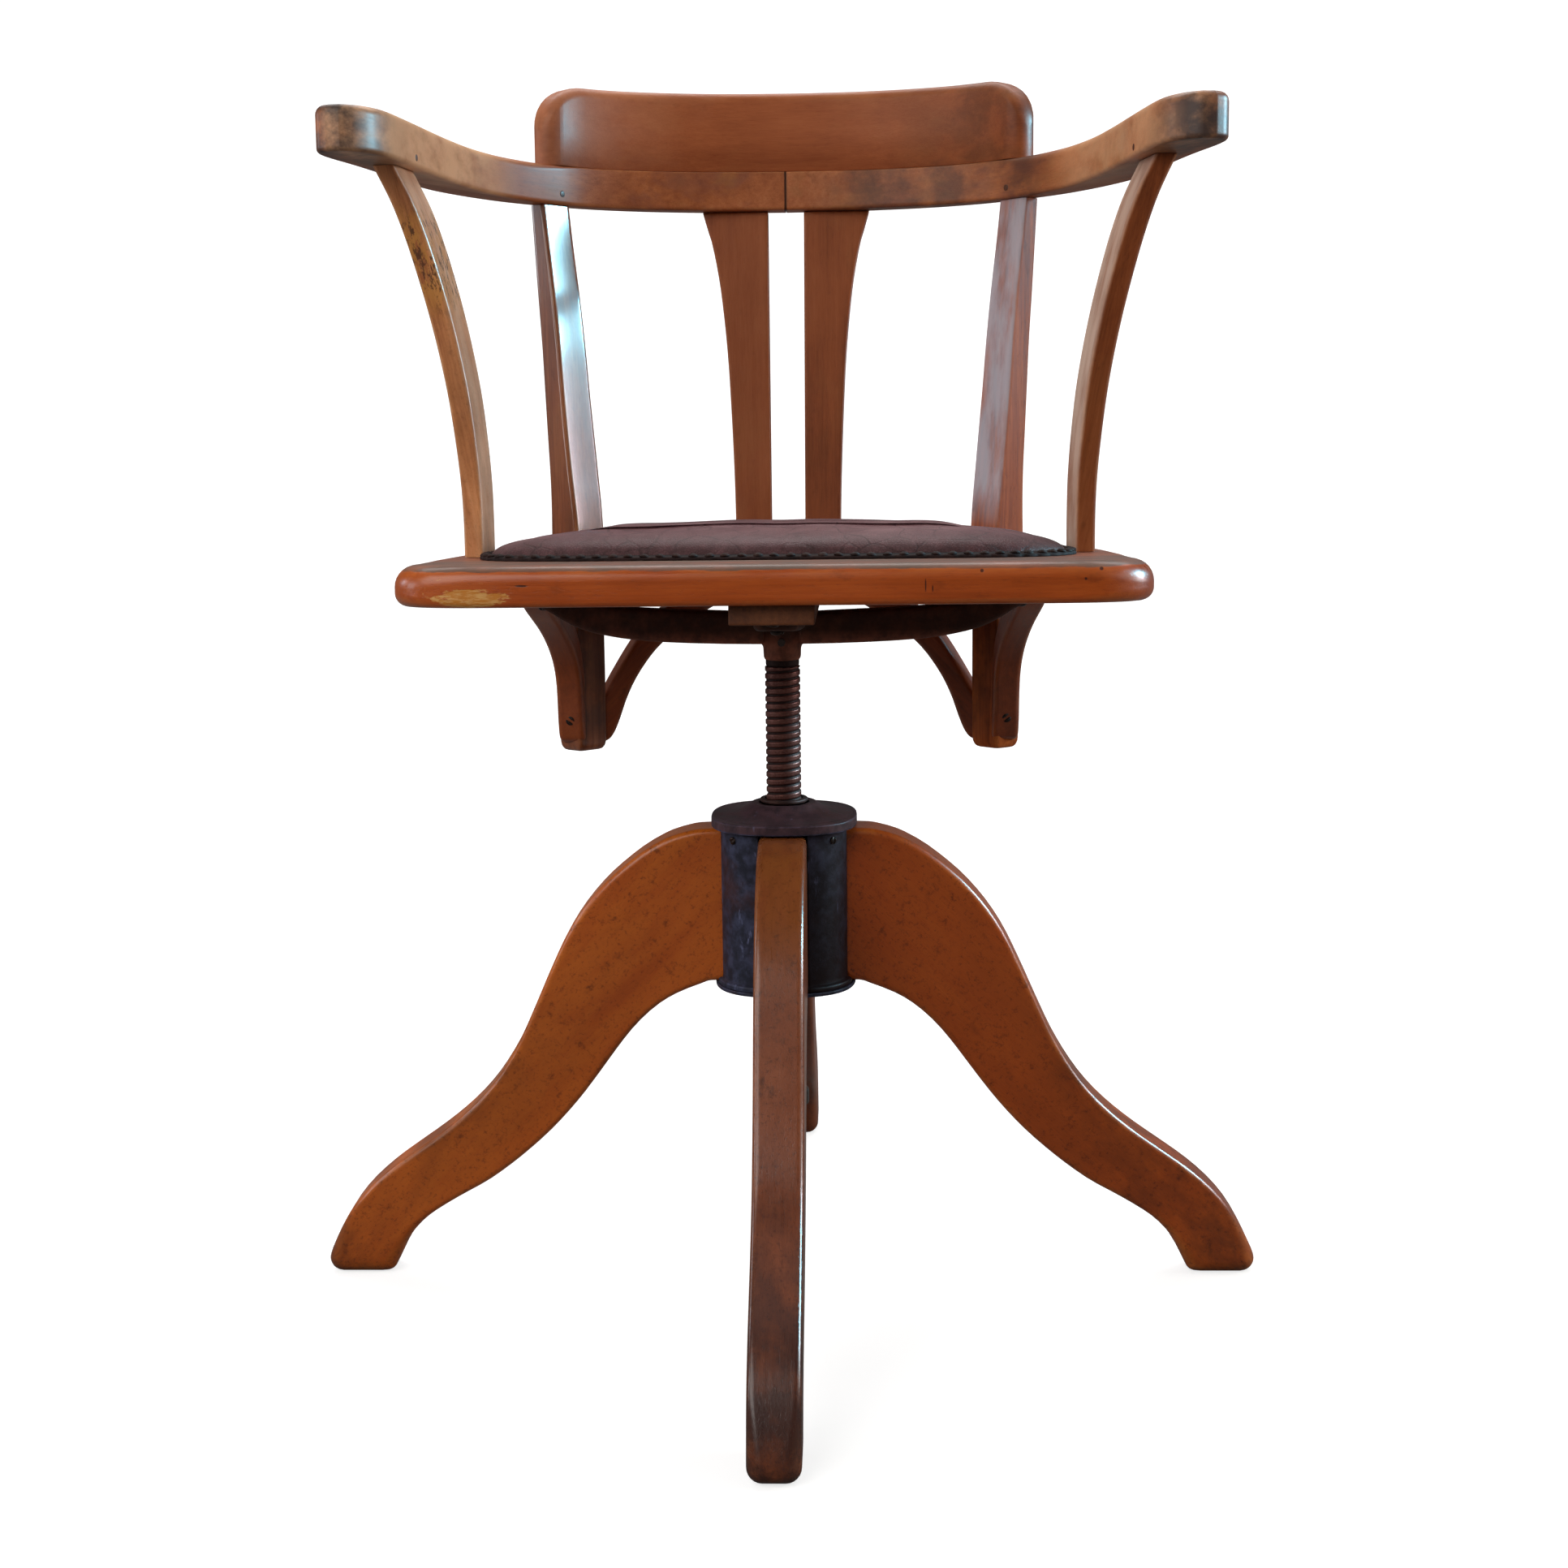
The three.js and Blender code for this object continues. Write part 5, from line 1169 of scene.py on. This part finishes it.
# ---------------------------------------------------------------- crest rail
path = spline([
    [-184, 88], [-172.5, 110.5], [-158, 130], [-141.5, 146.5], [-118, 160.5], [-90, 170.4], [-60, 177.2], [-30, 180.6], [0, 181.6],
    [30, 180.6], [60, 177.2], [90, 170.4], [118, 160.5], [141.5, 146.5], [158, 130], [172.5, 110.5], [184, 88]], 12)
path = resample(path, 1.0)
seglen = np.linalg.norm(np.diff(path, axis=0), axis=1)
arc = np.concatenate([[0], np.cumsum(seglen)])
total = arc[-1]
tangent = np.gradient(path, arc, axis=0)
tangent /= np.linalg.norm(tangent, axis=1)[:, None]
END, CORNER, NOSE = 41.0, 33.0, 13.0
FACE = -2.2      # the inner face stands flush with the rail
dist = [NOSE * (1 - math.cos(rad(a))) for a in (0, 15, 30, 45, 60, 75, 90)]
dist += [CORNER * (1 - math.cos(rad(a))) for a in (45, 52, 60, 68, 76, 84, 90)]
dist = sorted(set(round(d, 4) for d in dist))
stops = [END + d for d in dist]
stops += list(np.linspace(END + CORNER, total - END - CORNER, 46))[1:-1]
stops += [total - END - d for d in reversed(dist)]
rings, ev = [], None
for sp in stops:
    p = np.array([np.interp(sp, arc, path[:, 0]), np.interp(sp, arc, path[:, 1])])
    tg = np.array([np.interp(sp, arc, tangent[:, 0]), np.interp(sp, arc, tangent[:, 1])])
    tg /= np.linalg.norm(tg)
    out = np.array([-tg[1], tg[0]])
    d = min(sp - END, total - END - sp)
    m = 10.3 * (1 - math.sqrt(max(0, 1 - (1 - d / NOSE) ** 2))) if d < NOSE else 0.0
    top = CREST_Z1 - (CORNER * (1 - math.sqrt(max(0, 1 - (1 - d / CORNER) ** 2))) if d < CORNER else 0.0)
    bottom = RAIL_Z1 + 0.12
    t = CREST_T - FACE - 2 * m
    rt = min(8.0, t * 0.49)
    pts, es = [], []
    for cx, cz, r_, start in ((CREST_T - m - rt, top - rt, rt, 0), (FACE + m + rt, top - rt, rt, 90)):
        for k in range(8):
            th = rad(start + 90 * k / 7)
            pts.append((cx + r_ * math.cos(th), cz + r_ * math.sin(th)))
            es.append(math.sin(math.pi * k / 7))
    mi = FACE + m
    for q, z in ((mi, bottom + (top - bottom) * 0.45), (mi, bottom + 0.9), (mi + 0.5, bottom), (CREST_T - m - 0.8, bottom), (CREST_T - m, bottom + 1.2), (CREST_T - m, bottom + (top - bottom) * 0.45)):
        pts.append((q, z))
        es.append(0)
    rings.append([(p[0] + out[0] * q, p[1] + out[1] * q, z) for q, z in pts])
    ev = es
crest = loft(rings, ev)
crest_tip = np.array([[np.interp(q, arc, path[:, 0]), np.interp(q, arc, path[:, 1])] for q in (END + 2, total - END - 2)])


# Painted shade: the rounded crest ends and the right part of the crest are darkened, standing in for their turning away
# from the light.
def crest_end_shade(q):
    near = np.minimum(np.hypot(q[:, 0] - crest_tip[0, 0], q[:, 1] - crest_tip[0, 1]), np.hypot(q[:, 0] - crest_tip[1, 0], q[:, 1] - crest_tip[1, 1]))
    return np.maximum(0.75 * np.clip(1.2 - near / 26, 0, 1), 0.50 * np.clip((q[:, 0] - 60) / 70, 0, 1))


# Painted sheen: the left part of the crest is mixed towards a lighter faded colour, standing in for light reflected
# there.
def crest_left_sheen(q):
    return 0.36 * np.clip((-q[:, 0] - 70) / 60, 0, 1) * np.clip((188 - q[:, 1]) / 10, 0, 1)


make("crest_board", crest, crest_wood, "seat", ["crest_rail"], grain=frame_of((1, 0, 0)), leaning=True, sharp=50, dirt_and_shade=crest_end_shade, fade_and_light=crest_left_sheen)

# ---------------------------------------------------------------- seat pad
edge_half = [
    [0, -140], [60, -139.8], [112, -138], [146, -132], [168, -120.5], [180.6, -103], [186, -80], [185.4, -60], [183.6, -44],
    [182.6, -12], [179.8, 24], [173, 58], [160, 87], [139.4, 111.6], [116, 131.6], [88, 147.6], [48, 158.4], [0, 162]]
eh = spline(edge_half)
loop = np.vstack([eh, (eh[::-1] * [-1, 1])[1:-1]])
NAILS = 118
loop = resample(loop, 1.0, closed=True)
ln = np.roll(loop, -1, 0) - np.roll(loop, 1, 0)
ln /= np.linalg.norm(ln, axis=1)[:, None]
loop_n = np.stack([ln[:, 1], -ln[:, 0]], 1)
if (loop * loop_n).sum() < 0:
    loop_n = -loop_n


def around(n):
    k = np.linspace(0, len(loop), n, endpoint=False)
    i = k.astype(int)
    w_ = (k - i)[:, None]
    j = (i + 1) % len(loop)
    return loop[i] * (1 - w_) + loop[j] * w_, loop_n[i] * (1 - w_) + loop_n[j] * w_


BASE = PLANK_Z1 + GAP
COLS = NAILS * 2
pc, pn = around(COLS)
levels = [(7.6, 0.0), (7.3, 1.6), (7.6, 3.2), (9.0, 5.3), (11.5, 7.5), (15.5, 9.5), (21, 11.1), (28, 12.3), (37, 13.3), (48, 14.1),
          (60, 14.7)]
rings = []
for inset_, h in levels:
    rings.append(np.column_stack([pc - pn * inset_, np.full(COLS, BASE + h)]))
vv = np.vstack(rings)
faces = []
m = len(rings)
for i in range(m - 1):
    for j in range(COLS):
        a1, b1 = i * COLS + j, i * COLS + (j + 1) % COLS
        faces.append((a1, b1, b1 + COLS, a1 + COLS))
# the middle of the hide: a patch of quads stretched over the innermost ring
SIDE = COLS // 4
c0 = COLS // 8
rim_i = lambda k: (m - 1) * COLS + (c0 + k) % COLS
ring_ = rings[-1][:, :2]
edge_pt = lambda k: ring_[(c0 + k) % COLS]
patch = {}
for a1 in range(SIDE + 1):
    for b1 in range(SIDE + 1):
        if b1 == 0:
            patch[a1, b1] = rim_i(a1)
        elif a1 == SIDE:
            patch[a1, b1] = rim_i(SIDE + b1)
        elif b1 == SIDE:
            patch[a1, b1] = rim_i(3 * SIDE - a1)
        elif a1 == 0:
            patch[a1, b1] = rim_i(4 * SIDE - b1)
extra_pts = []
base_i = len(vv)
for a1 in range(1, SIDE):
    for b1 in range(1, SIDE):
        uu, ww = a1 / SIDE, b1 / SIDE
        south, north, east, west = edge_pt(a1), edge_pt(3 * SIDE - a1), edge_pt(SIDE + b1), edge_pt(4 * SIDE - b1)
        q = (1 - ww) * south + ww * north + (1 - uu) * west + uu * east
        q = q - ((1 - uu) * (1 - ww) * edge_pt(0) + uu * (1 - ww) * edge_pt(SIDE) + uu * ww * edge_pt(2 * SIDE) + (1 - uu) * ww * edge_pt(3 * SIDE))
        rise = (1 - (2 * uu - 1) ** 2) * (1 - (2 * ww - 1) ** 2)
        patch[a1, b1] = base_i + len(extra_pts)
        extra_pts.append((q[0], q[1], BASE + 14.7 + 1.7 * (1 - math.exp(-2.4 * rise))))
vv = np.vstack([vv, extra_pts])
for a1 in range(SIDE):
    for b1 in range(SIDE):
        faces.append((patch[a1, b1], patch[a1 + 1, b1], patch[a1 + 1, b1 + 1], patch[a1, b1 + 1]))
under = len(vv)
ub = pc - pn * 9.0
vv = np.vstack([vv, np.column_stack([ub, np.full(COLS, BASE)])])
for j in range(COLS):
    faces.append((under + j, under + (j + 1) % COLS, (j + 1) % COLS, j))
flat_i = len(vv)
vv = np.vstack([vv, [(x, y, BASE) for x, y, _ in extra_pts]])
twin = {}
for key, val in patch.items():
    if val >= base_i:
        twin[key] = val - base_i + flat_i
    else:
        twin[key] = under + (val - (m - 1) * COLS)
for a1 in range(SIDE):
    for b1 in range(SIDE):
        faces.append((twin[a1, b1], twin[a1, b1 + 1], twin[a1 + 1, b1 + 1], twin[a1 + 1, b1]))
pin = np.zeros(len(vv))
pin[:3 * COLS] = 1.0
pin[under:] = 1.0
rim = np.zeros(len(vv))
for i, (inset, h) in enumerate(levels):
    rim[i * COLS:(i + 1) * COLS] = np.clip(1 - (inset - 7) / 24.0, 0, 1)
pad = make("leather_seat_pad", (vv, faces, rim), leather, "seat", ["seat_pad"], leaning=True, sharp=70)
rest = np.array([x.co for x in pad.data.vertices], float)


def settle(d, held, quads, rounds=45):
    """Evens a displacement field over the mesh, the held points staying put."""
    pairs = np.array([(q[i], q[(i + 1) % len(q)]) for q in quads for i in range(len(q))])
    deg = np.maximum(np.bincount(pairs[:, 0], minlength=len(d)) + np.bincount(pairs[:, 1], minlength=len(d)), 1)[:, None]
    for _ in range(rounds):
        s = np.zeros_like(d)
        for k in range(3):
            s[:, k] = np.bincount(pairs[:, 0], weights=d[pairs[:, 1], k], minlength=len(d)) + np.bincount(pairs[:, 1], weights=d[pairs[:, 0], k], minlength=len(d))
        d = 0.4 * d + 0.6 * s / deg
        d[held > 0] = 0
    return d


def puff(ob, start, pinned):
    """Short cloth run with inner pressure, the edge held, so the hide swells and settles between its nails."""
    scene = bpy.context.scene
    group = ob.vertex_groups.new(name="held")
    for i in np.nonzero(pinned > 0)[0]:
        group.add([int(i)], 1.0, "REPLACE")
    mod = ob.modifiers.new("cloth", "CLOTH")
    st_ = mod.settings
    st_.quality = 6
    st_.mass = 0.4
    st_.tension_stiffness = 25
    st_.compression_stiffness = 25
    st_.shear_stiffness = 12
    st_.bending_stiffness = 2.0
    st_.use_pressure = True
    st_.uniform_pressure_force = 3.5
    st_.vertex_group_mass = "held"
    st_.effector_weights.gravity = 0.0
    mod.collision_settings.use_collision = False
    mod.point_cache.frame_start, mod.point_cache.frame_end = 1, 20
    for fr in range(1, 21):
        scene.frame_set(fr)
    dg = bpy.context.evaluated_depsgraph_get()
    ev_ = ob.evaluated_get(dg)
    me_ = ev_.to_mesh()
    got = np.array([x.co for x in me_.vertices], float)
    ev_.to_mesh_clear()
    ob.modifiers.remove(mod)
    ob.vertex_groups.remove(group)
    scene.frame_set(1)
    d_ = got - start
    size = np.linalg.norm(d_, axis=1)
    cap = 0.005
    d_ *= (cap * np.tanh(size / cap) / np.maximum(size, 1e-9))[:, None]
    return d_


swell = np.zeros_like(rest)
swell[pin < 0.5, 2] = 0.0038
swell = puff(pad, rest, pin)
swell = settle(swell, pin, faces)
print("pad swells by", round(float(np.linalg.norm(swell, axis=1).max()) * 1000, 2), "mm")
co = rest + swell
# the hide is drawn down at each nail and lifts a little between them, with shallow hollows where people sat
an_ = np.arange(COLS)
wave = np.where(an_ % 2 == 0, -1.0, 1.0)
for i, (inset, h) in enumerate(levels):
    k = math.exp(-((inset - 8.5) / 5.0) ** 2) * 0.00055
    if i >= 1:
        co[i * COLS:(i + 1) * COLS, 2] += wave * k
hollow = np.exp(-(((co[:, 0] - 0.055) / 0.075) ** 2 + ((co[:, 1] - 0.02) / 0.08) ** 2)) + np.exp(-(((co[:, 0] + 0.055) / 0.075) ** 2 + ((co[:, 1] - 0.02) / 0.08) ** 2))
inner = np.clip((0.5 - rim) * 2, 0, 1) * (pin < 0.5)
co[:, 2] -= 0.0016 * hollow * inner
ripple = 0.0005 * np.sin(co[:, 0] * 61 + 3 * np.sin(co[:, 1] * 23)) * np.sin(co[:, 1] * 47 + 2.2 * np.sin(co[:, 0] * 31))
co[:, 2] += ripple * inner
pad.data.vertices.foreach_set("co", co.astype(np.float32).ravel())
pad.data.update()
sub = pad.modifiers.new("round", "SUBSURF")
sub.levels = sub.render_levels = 1
me = apply_modifiers(pad)
write_attributes(me)
me.shade_smooth()
# darker towards the nailed rim
n_ = len(me.vertices)
cc = np.zeros(n_ * 3, np.float32)
me.vertices.foreach_get("co", cc)
cc = cc.reshape(-1, 3)
lp = lean(np.column_stack([loop, np.full(len(loop), BASE)]))[:, :2] * MM
dmin = np.full(n_, 1.0)
for i in range(0, len(lp), 3):
    dmin = np.minimum(dmin, np.hypot(cc[:, 0] - lp[i, 0], cc[:, 1] - lp[i, 1]))
me.attributes["dirt_and_shade"].data.foreach_set("value", (0.15 + 0.85 * np.clip(1 - (dmin - 0.008) / 0.030, 0, 1)).astype(np.float32))

# scalloped leather edge with its row of nails
per = 6
ec, en = around(NAILS * per)
ph_ = np.arange(NAILS * per) % per / per
scal = 1.1 * np.abs(np.cos(np.pi * ph_)) ** 0.7
prof = [(9.0, 0.0, 0.0), (0.0, 0.0, 1.0), (0.0, 1.0, 1.0), (0.5, 1.7, 1.0), (1.6, 2.0, 0.8), (4.6, 2.2, 0.2), (7.0, 3.0, 0.0), (8.8, 3.3, 0.0), (9.4, 2.4, 0.0)]
rings = []
for inset, h, sc in prof:
    q = ec - en * (inset + 0.2 + (1.1 - scal)[:, None] * sc)
    curl = 4.6 * np.exp(-((q[:, 1] - 52) / 34) ** 2) * (q[:, 0] > 90) * np.clip((inset - 3.5) / 4, 0, 1) * (h > 0.5)
    rings.append(np.column_stack([q, BASE + h + curl]))
rr = np.array(rings)
m, n = rr.shape[:2]
vv = rr.reshape(-1, 3)
faces = []
for i in range(m):
    for j in range(n):
        a1, b1 = i * n + j, i * n + (j + 1) % n
        a2, b2 = ((i + 1) % m) * n + j, ((i + 1) % m) * n + (j + 1) % n
        faces.append((a1, b1, b2, a2))
tri = vv[np.array([[q[0], q[1], q[2]] for q in faces])]
if np.einsum("ij,ij->i", tri[:, 0], np.cross(tri[:, 1], tri[:, 2])).sum() < 0:
    faces = [tuple(reversed(q)) for q in faces]
strip = (vv, faces, np.zeros(len(vv)))
rng = np.random.default_rng(7)
heads = []
nc, nn = around(NAILS)
for i in range(NAILS):
    c = nc[i] - nn[i] * 3.4
    hv, hf, he = turned([[0, -1.0], [1.0, -1.0], [3.0, 0.0], [2.9, 0.45], [2.3, 1.15], [1.2, 1.65], [0, 1.8]], 14, r=0.2)
    jit = rng.uniform(-0.35, 0.35, 3)
    tilt = rng.uniform(-0.12, 0.12, 2)
    hv = hv.copy()
    hv[:, 2] += hv[:, 0] * tilt[0] + hv[:, 1] * tilt[1]
    heads.append((hv + np.array([c[0] + jit[0], c[1] + jit[1], BASE + 2.15 + 0.3 * jit[2]]), hf, he))
nails = merge(*heads)
count = len(strip[1])
edging = make("nailed_edging", merge(strip, nails), band, "seat", ["seat_edging"], leaning=True, sharp=50)
edging.data.materials.append(nail_metal)
for i, poly in enumerate(edging.data.polygons):
    poly.material_index = 1 if i >= count else 0

# CAD nodes that stay on show inside the hub and the boss
for node in ("hub_nut", "spindle_cross_pin"):
    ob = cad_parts[node]
    ob.data.materials.clear()
    ob.data.materials.append(steel)

# ---------------------------------------------------------------- camera
A, yaw, pt, rl, focal = rad(1.97), rad(0.12), rad(10.32), rad(-0.68), 2758.95
C0 = np.array([-3.0, -1475.05, 609.74])
fwd = np.array([math.sin(yaw) * math.cos(pt), math.cos(yaw) * math.cos(pt), -math.sin(pt)])
right = np.array([math.cos(yaw), -math.sin(yaw), 0.0])
upv = np.cross(right, fwd)
r_ = right * math.cos(rl) + upv * math.sin(rl)
u_ = -right * math.sin(rl) + upv * math.cos(rl)
rot = lambda p: np.array([math.cos(A) * p[0] - math.sin(A) * p[1], math.sin(A) * p[0] + math.cos(A) * p[1], p[2]])
C, fwd, r_, u_ = rot(C0) * MM, rot(fwd), rot(r_), rot(u_)
cam = bpy.data.objects.new("camera", bpy.data.cameras.new("camera"))
cam.data.sensor_width = 36.0
cam.data.lens = focal / 1932 * 36.0
cam.data.clip_start, cam.data.clip_end = 0.05, 60
bpy.context.scene.collection.objects.link(cam)
cam.matrix_world = Matrix([[r_[0], u_[0], -fwd[0], C[0]], [r_[1], u_[1], -fwd[1], C[1]], [r_[2], u_[2], -fwd[2], C[2]], [0, 0, 0, 1]])
bpy.context.scene.camera = cam

# ---------------------------------------------------------------- floor, backdrop and light
def sweep_floor():
    prof_ = [(-6.0, 0.0)] + [(3.2 + 2.2 * math.sin(rad(a)), 2.2 - 2.2 * math.cos(rad(a))) for a in range(0, 91, 6)] + [(5.4, 9.0)]
    vs, fs = [], []
    for x in (-9.0, 9.0):
        vs += [(x, y, z) for y, z in prof_]
    n_p = len(prof_)
    for i in range(n_p - 1):
        fs.append((i, i + n_p, i + n_p + 1, i + 1))
    me_ = bpy.data.meshes.new("floor")
    me_.from_pydata(vs, [], fs)
    me_.shade_smooth()
    ob_ = bpy.data.objects.new("floor", me_)
    bpy.context.scene.collection.objects.link(ob_)
    return ob_


floor = sweep_floor()
fm = bpy.data.materials.new("floor_white")
fm.use_nodes = True
nt = fm.node_tree
nt.nodes.clear()
out = nt.nodes.new("ShaderNodeOutputMaterial")
seen, unseen, mixer = nt.nodes.new("ShaderNodeAddShader"), nt.nodes.new("ShaderNodeBsdfDiffuse"), nt.nodes.new("ShaderNodeMixShader")
glow, matt, lp = nt.nodes.new("ShaderNodeEmission"), nt.nodes.new("ShaderNodeBsdfDiffuse"), nt.nodes.new("ShaderNodeLightPath")
glow.inputs["Color"].default_value = (1, 1, 1, 1)
glow.inputs["Strength"].default_value = 0.72
matt.inputs["Color"].default_value = (0.48, 0.48, 0.48, 1)
unseen.inputs["Color"].default_value = (0.16, 0.155, 0.15, 1)
nt.links.new(glow.outputs[0], seen.inputs[0])
nt.links.new(matt.outputs[0], seen.inputs[1])
nt.links.new(lp.outputs["Is Camera Ray"], mixer.inputs[0])
nt.links.new(unseen.outputs[0], mixer.inputs[1])
nt.links.new(seen.outputs[0], mixer.inputs[2])
nt.links.new(mixer.outputs[0], out.inputs[0])
floor.data.materials.append(fm)

world = bpy.data.worlds.new("studio")
bpy.context.scene.world = world
world.use_nodes = True
wn_ = world.node_tree
bg = wn_.nodes["Background"]
bg.inputs["Color"].default_value = (1.0, 0.98, 0.96, 1)
bg.inputs["Strength"].default_value = 0.10
wall = wn_.nodes.new("ShaderNodeBackground")
wall.inputs["Color"].default_value = (0.93, 0.93, 0.93, 1)
wall.inputs["Strength"].default_value = 1.0
wray, wmix = wn_.nodes.new("ShaderNodeLightPath"), wn_.nodes.new("ShaderNodeMixShader")
wn_.links.new(wray.outputs["Is Camera Ray"], wmix.inputs[0])
wn_.links.new(bg.outputs[0], wmix.inputs[1])
wn_.links.new(wall.outputs[0], wmix.inputs[2])
wn_.links.new(wmix.outputs[0], wn_.nodes["World Output"].inputs[0])
bpy.context.scene.view_settings.view_transform = "Standard"


def area(name, loc, target, size, power, color=(1, 1, 1), spread=180, gloss_only=False):
    l = bpy.data.lights.new(name, "AREA")
    l.shape = "RECTANGLE"
    l.size, l.size_y = size
    l.energy = power
    l.color = color
    l.spread = rad(spread)
    o = bpy.data.objects.new(name, l)
    o.location = loc
    d_ = Vector(target) - Vector(loc)
    o.rotation_euler = d_.to_track_quat("-Z", "Y").to_euler()
    o.visible_diffuse = not gloss_only
    bpy.context.scene.collection.objects.link(o)
    return o


area("key_left", (-1.25, -1.60, 1.70), (0.0, 0, 0.45), (2.0, 1.5), 34, (1.0, 0.96, 0.92))
area("front_right", (1.35, -0.80, 1.05), (-0.10, 0.15, 0.75), (0.7, 0.6), 1.8, (1.0, 0.90, 0.85))
area("window_right", (1.95, 0.31, 1.24), (0.0, 0.31, 1.24), (0.50, 0.37), 96, (0.30, 0.78, 1.0), gloss_only=True)
area("room_right", (2.0, 0.20, 0.86), (0.0, 0.20, 0.86), (0.40, 0.28), 7, (1.0, 0.64, 0.74), gloss_only=True)
area("side_right", (2.0, 0.0, 1.0), (0.0, 0.05, 0.60), (0.9, 0.8), 20, (0.96, 0.97, 0.92))
area("window_left", (-2.0, 0.47, 0.95), (0.0, 0.47, 0.95), (0.5, 0.34), 4, (0.84, 0.90, 1.0))
area("gloss_left", (-2.0, -0.45, 0.75), (0.0, -0.15, 0.50), (0.45, 0.5), 5, (0.94, 0.96, 1.0))
area("top_soft", (0.1, 0.3, 2.6), (0, 0.1, 0.4), (2.2, 2.2), 6, (1, 1, 1))
area("floor_wash", (0, 2.6, 4.2), (0, 2.8, 0), (5.5, 2.2), 220, (1, 1, 1))
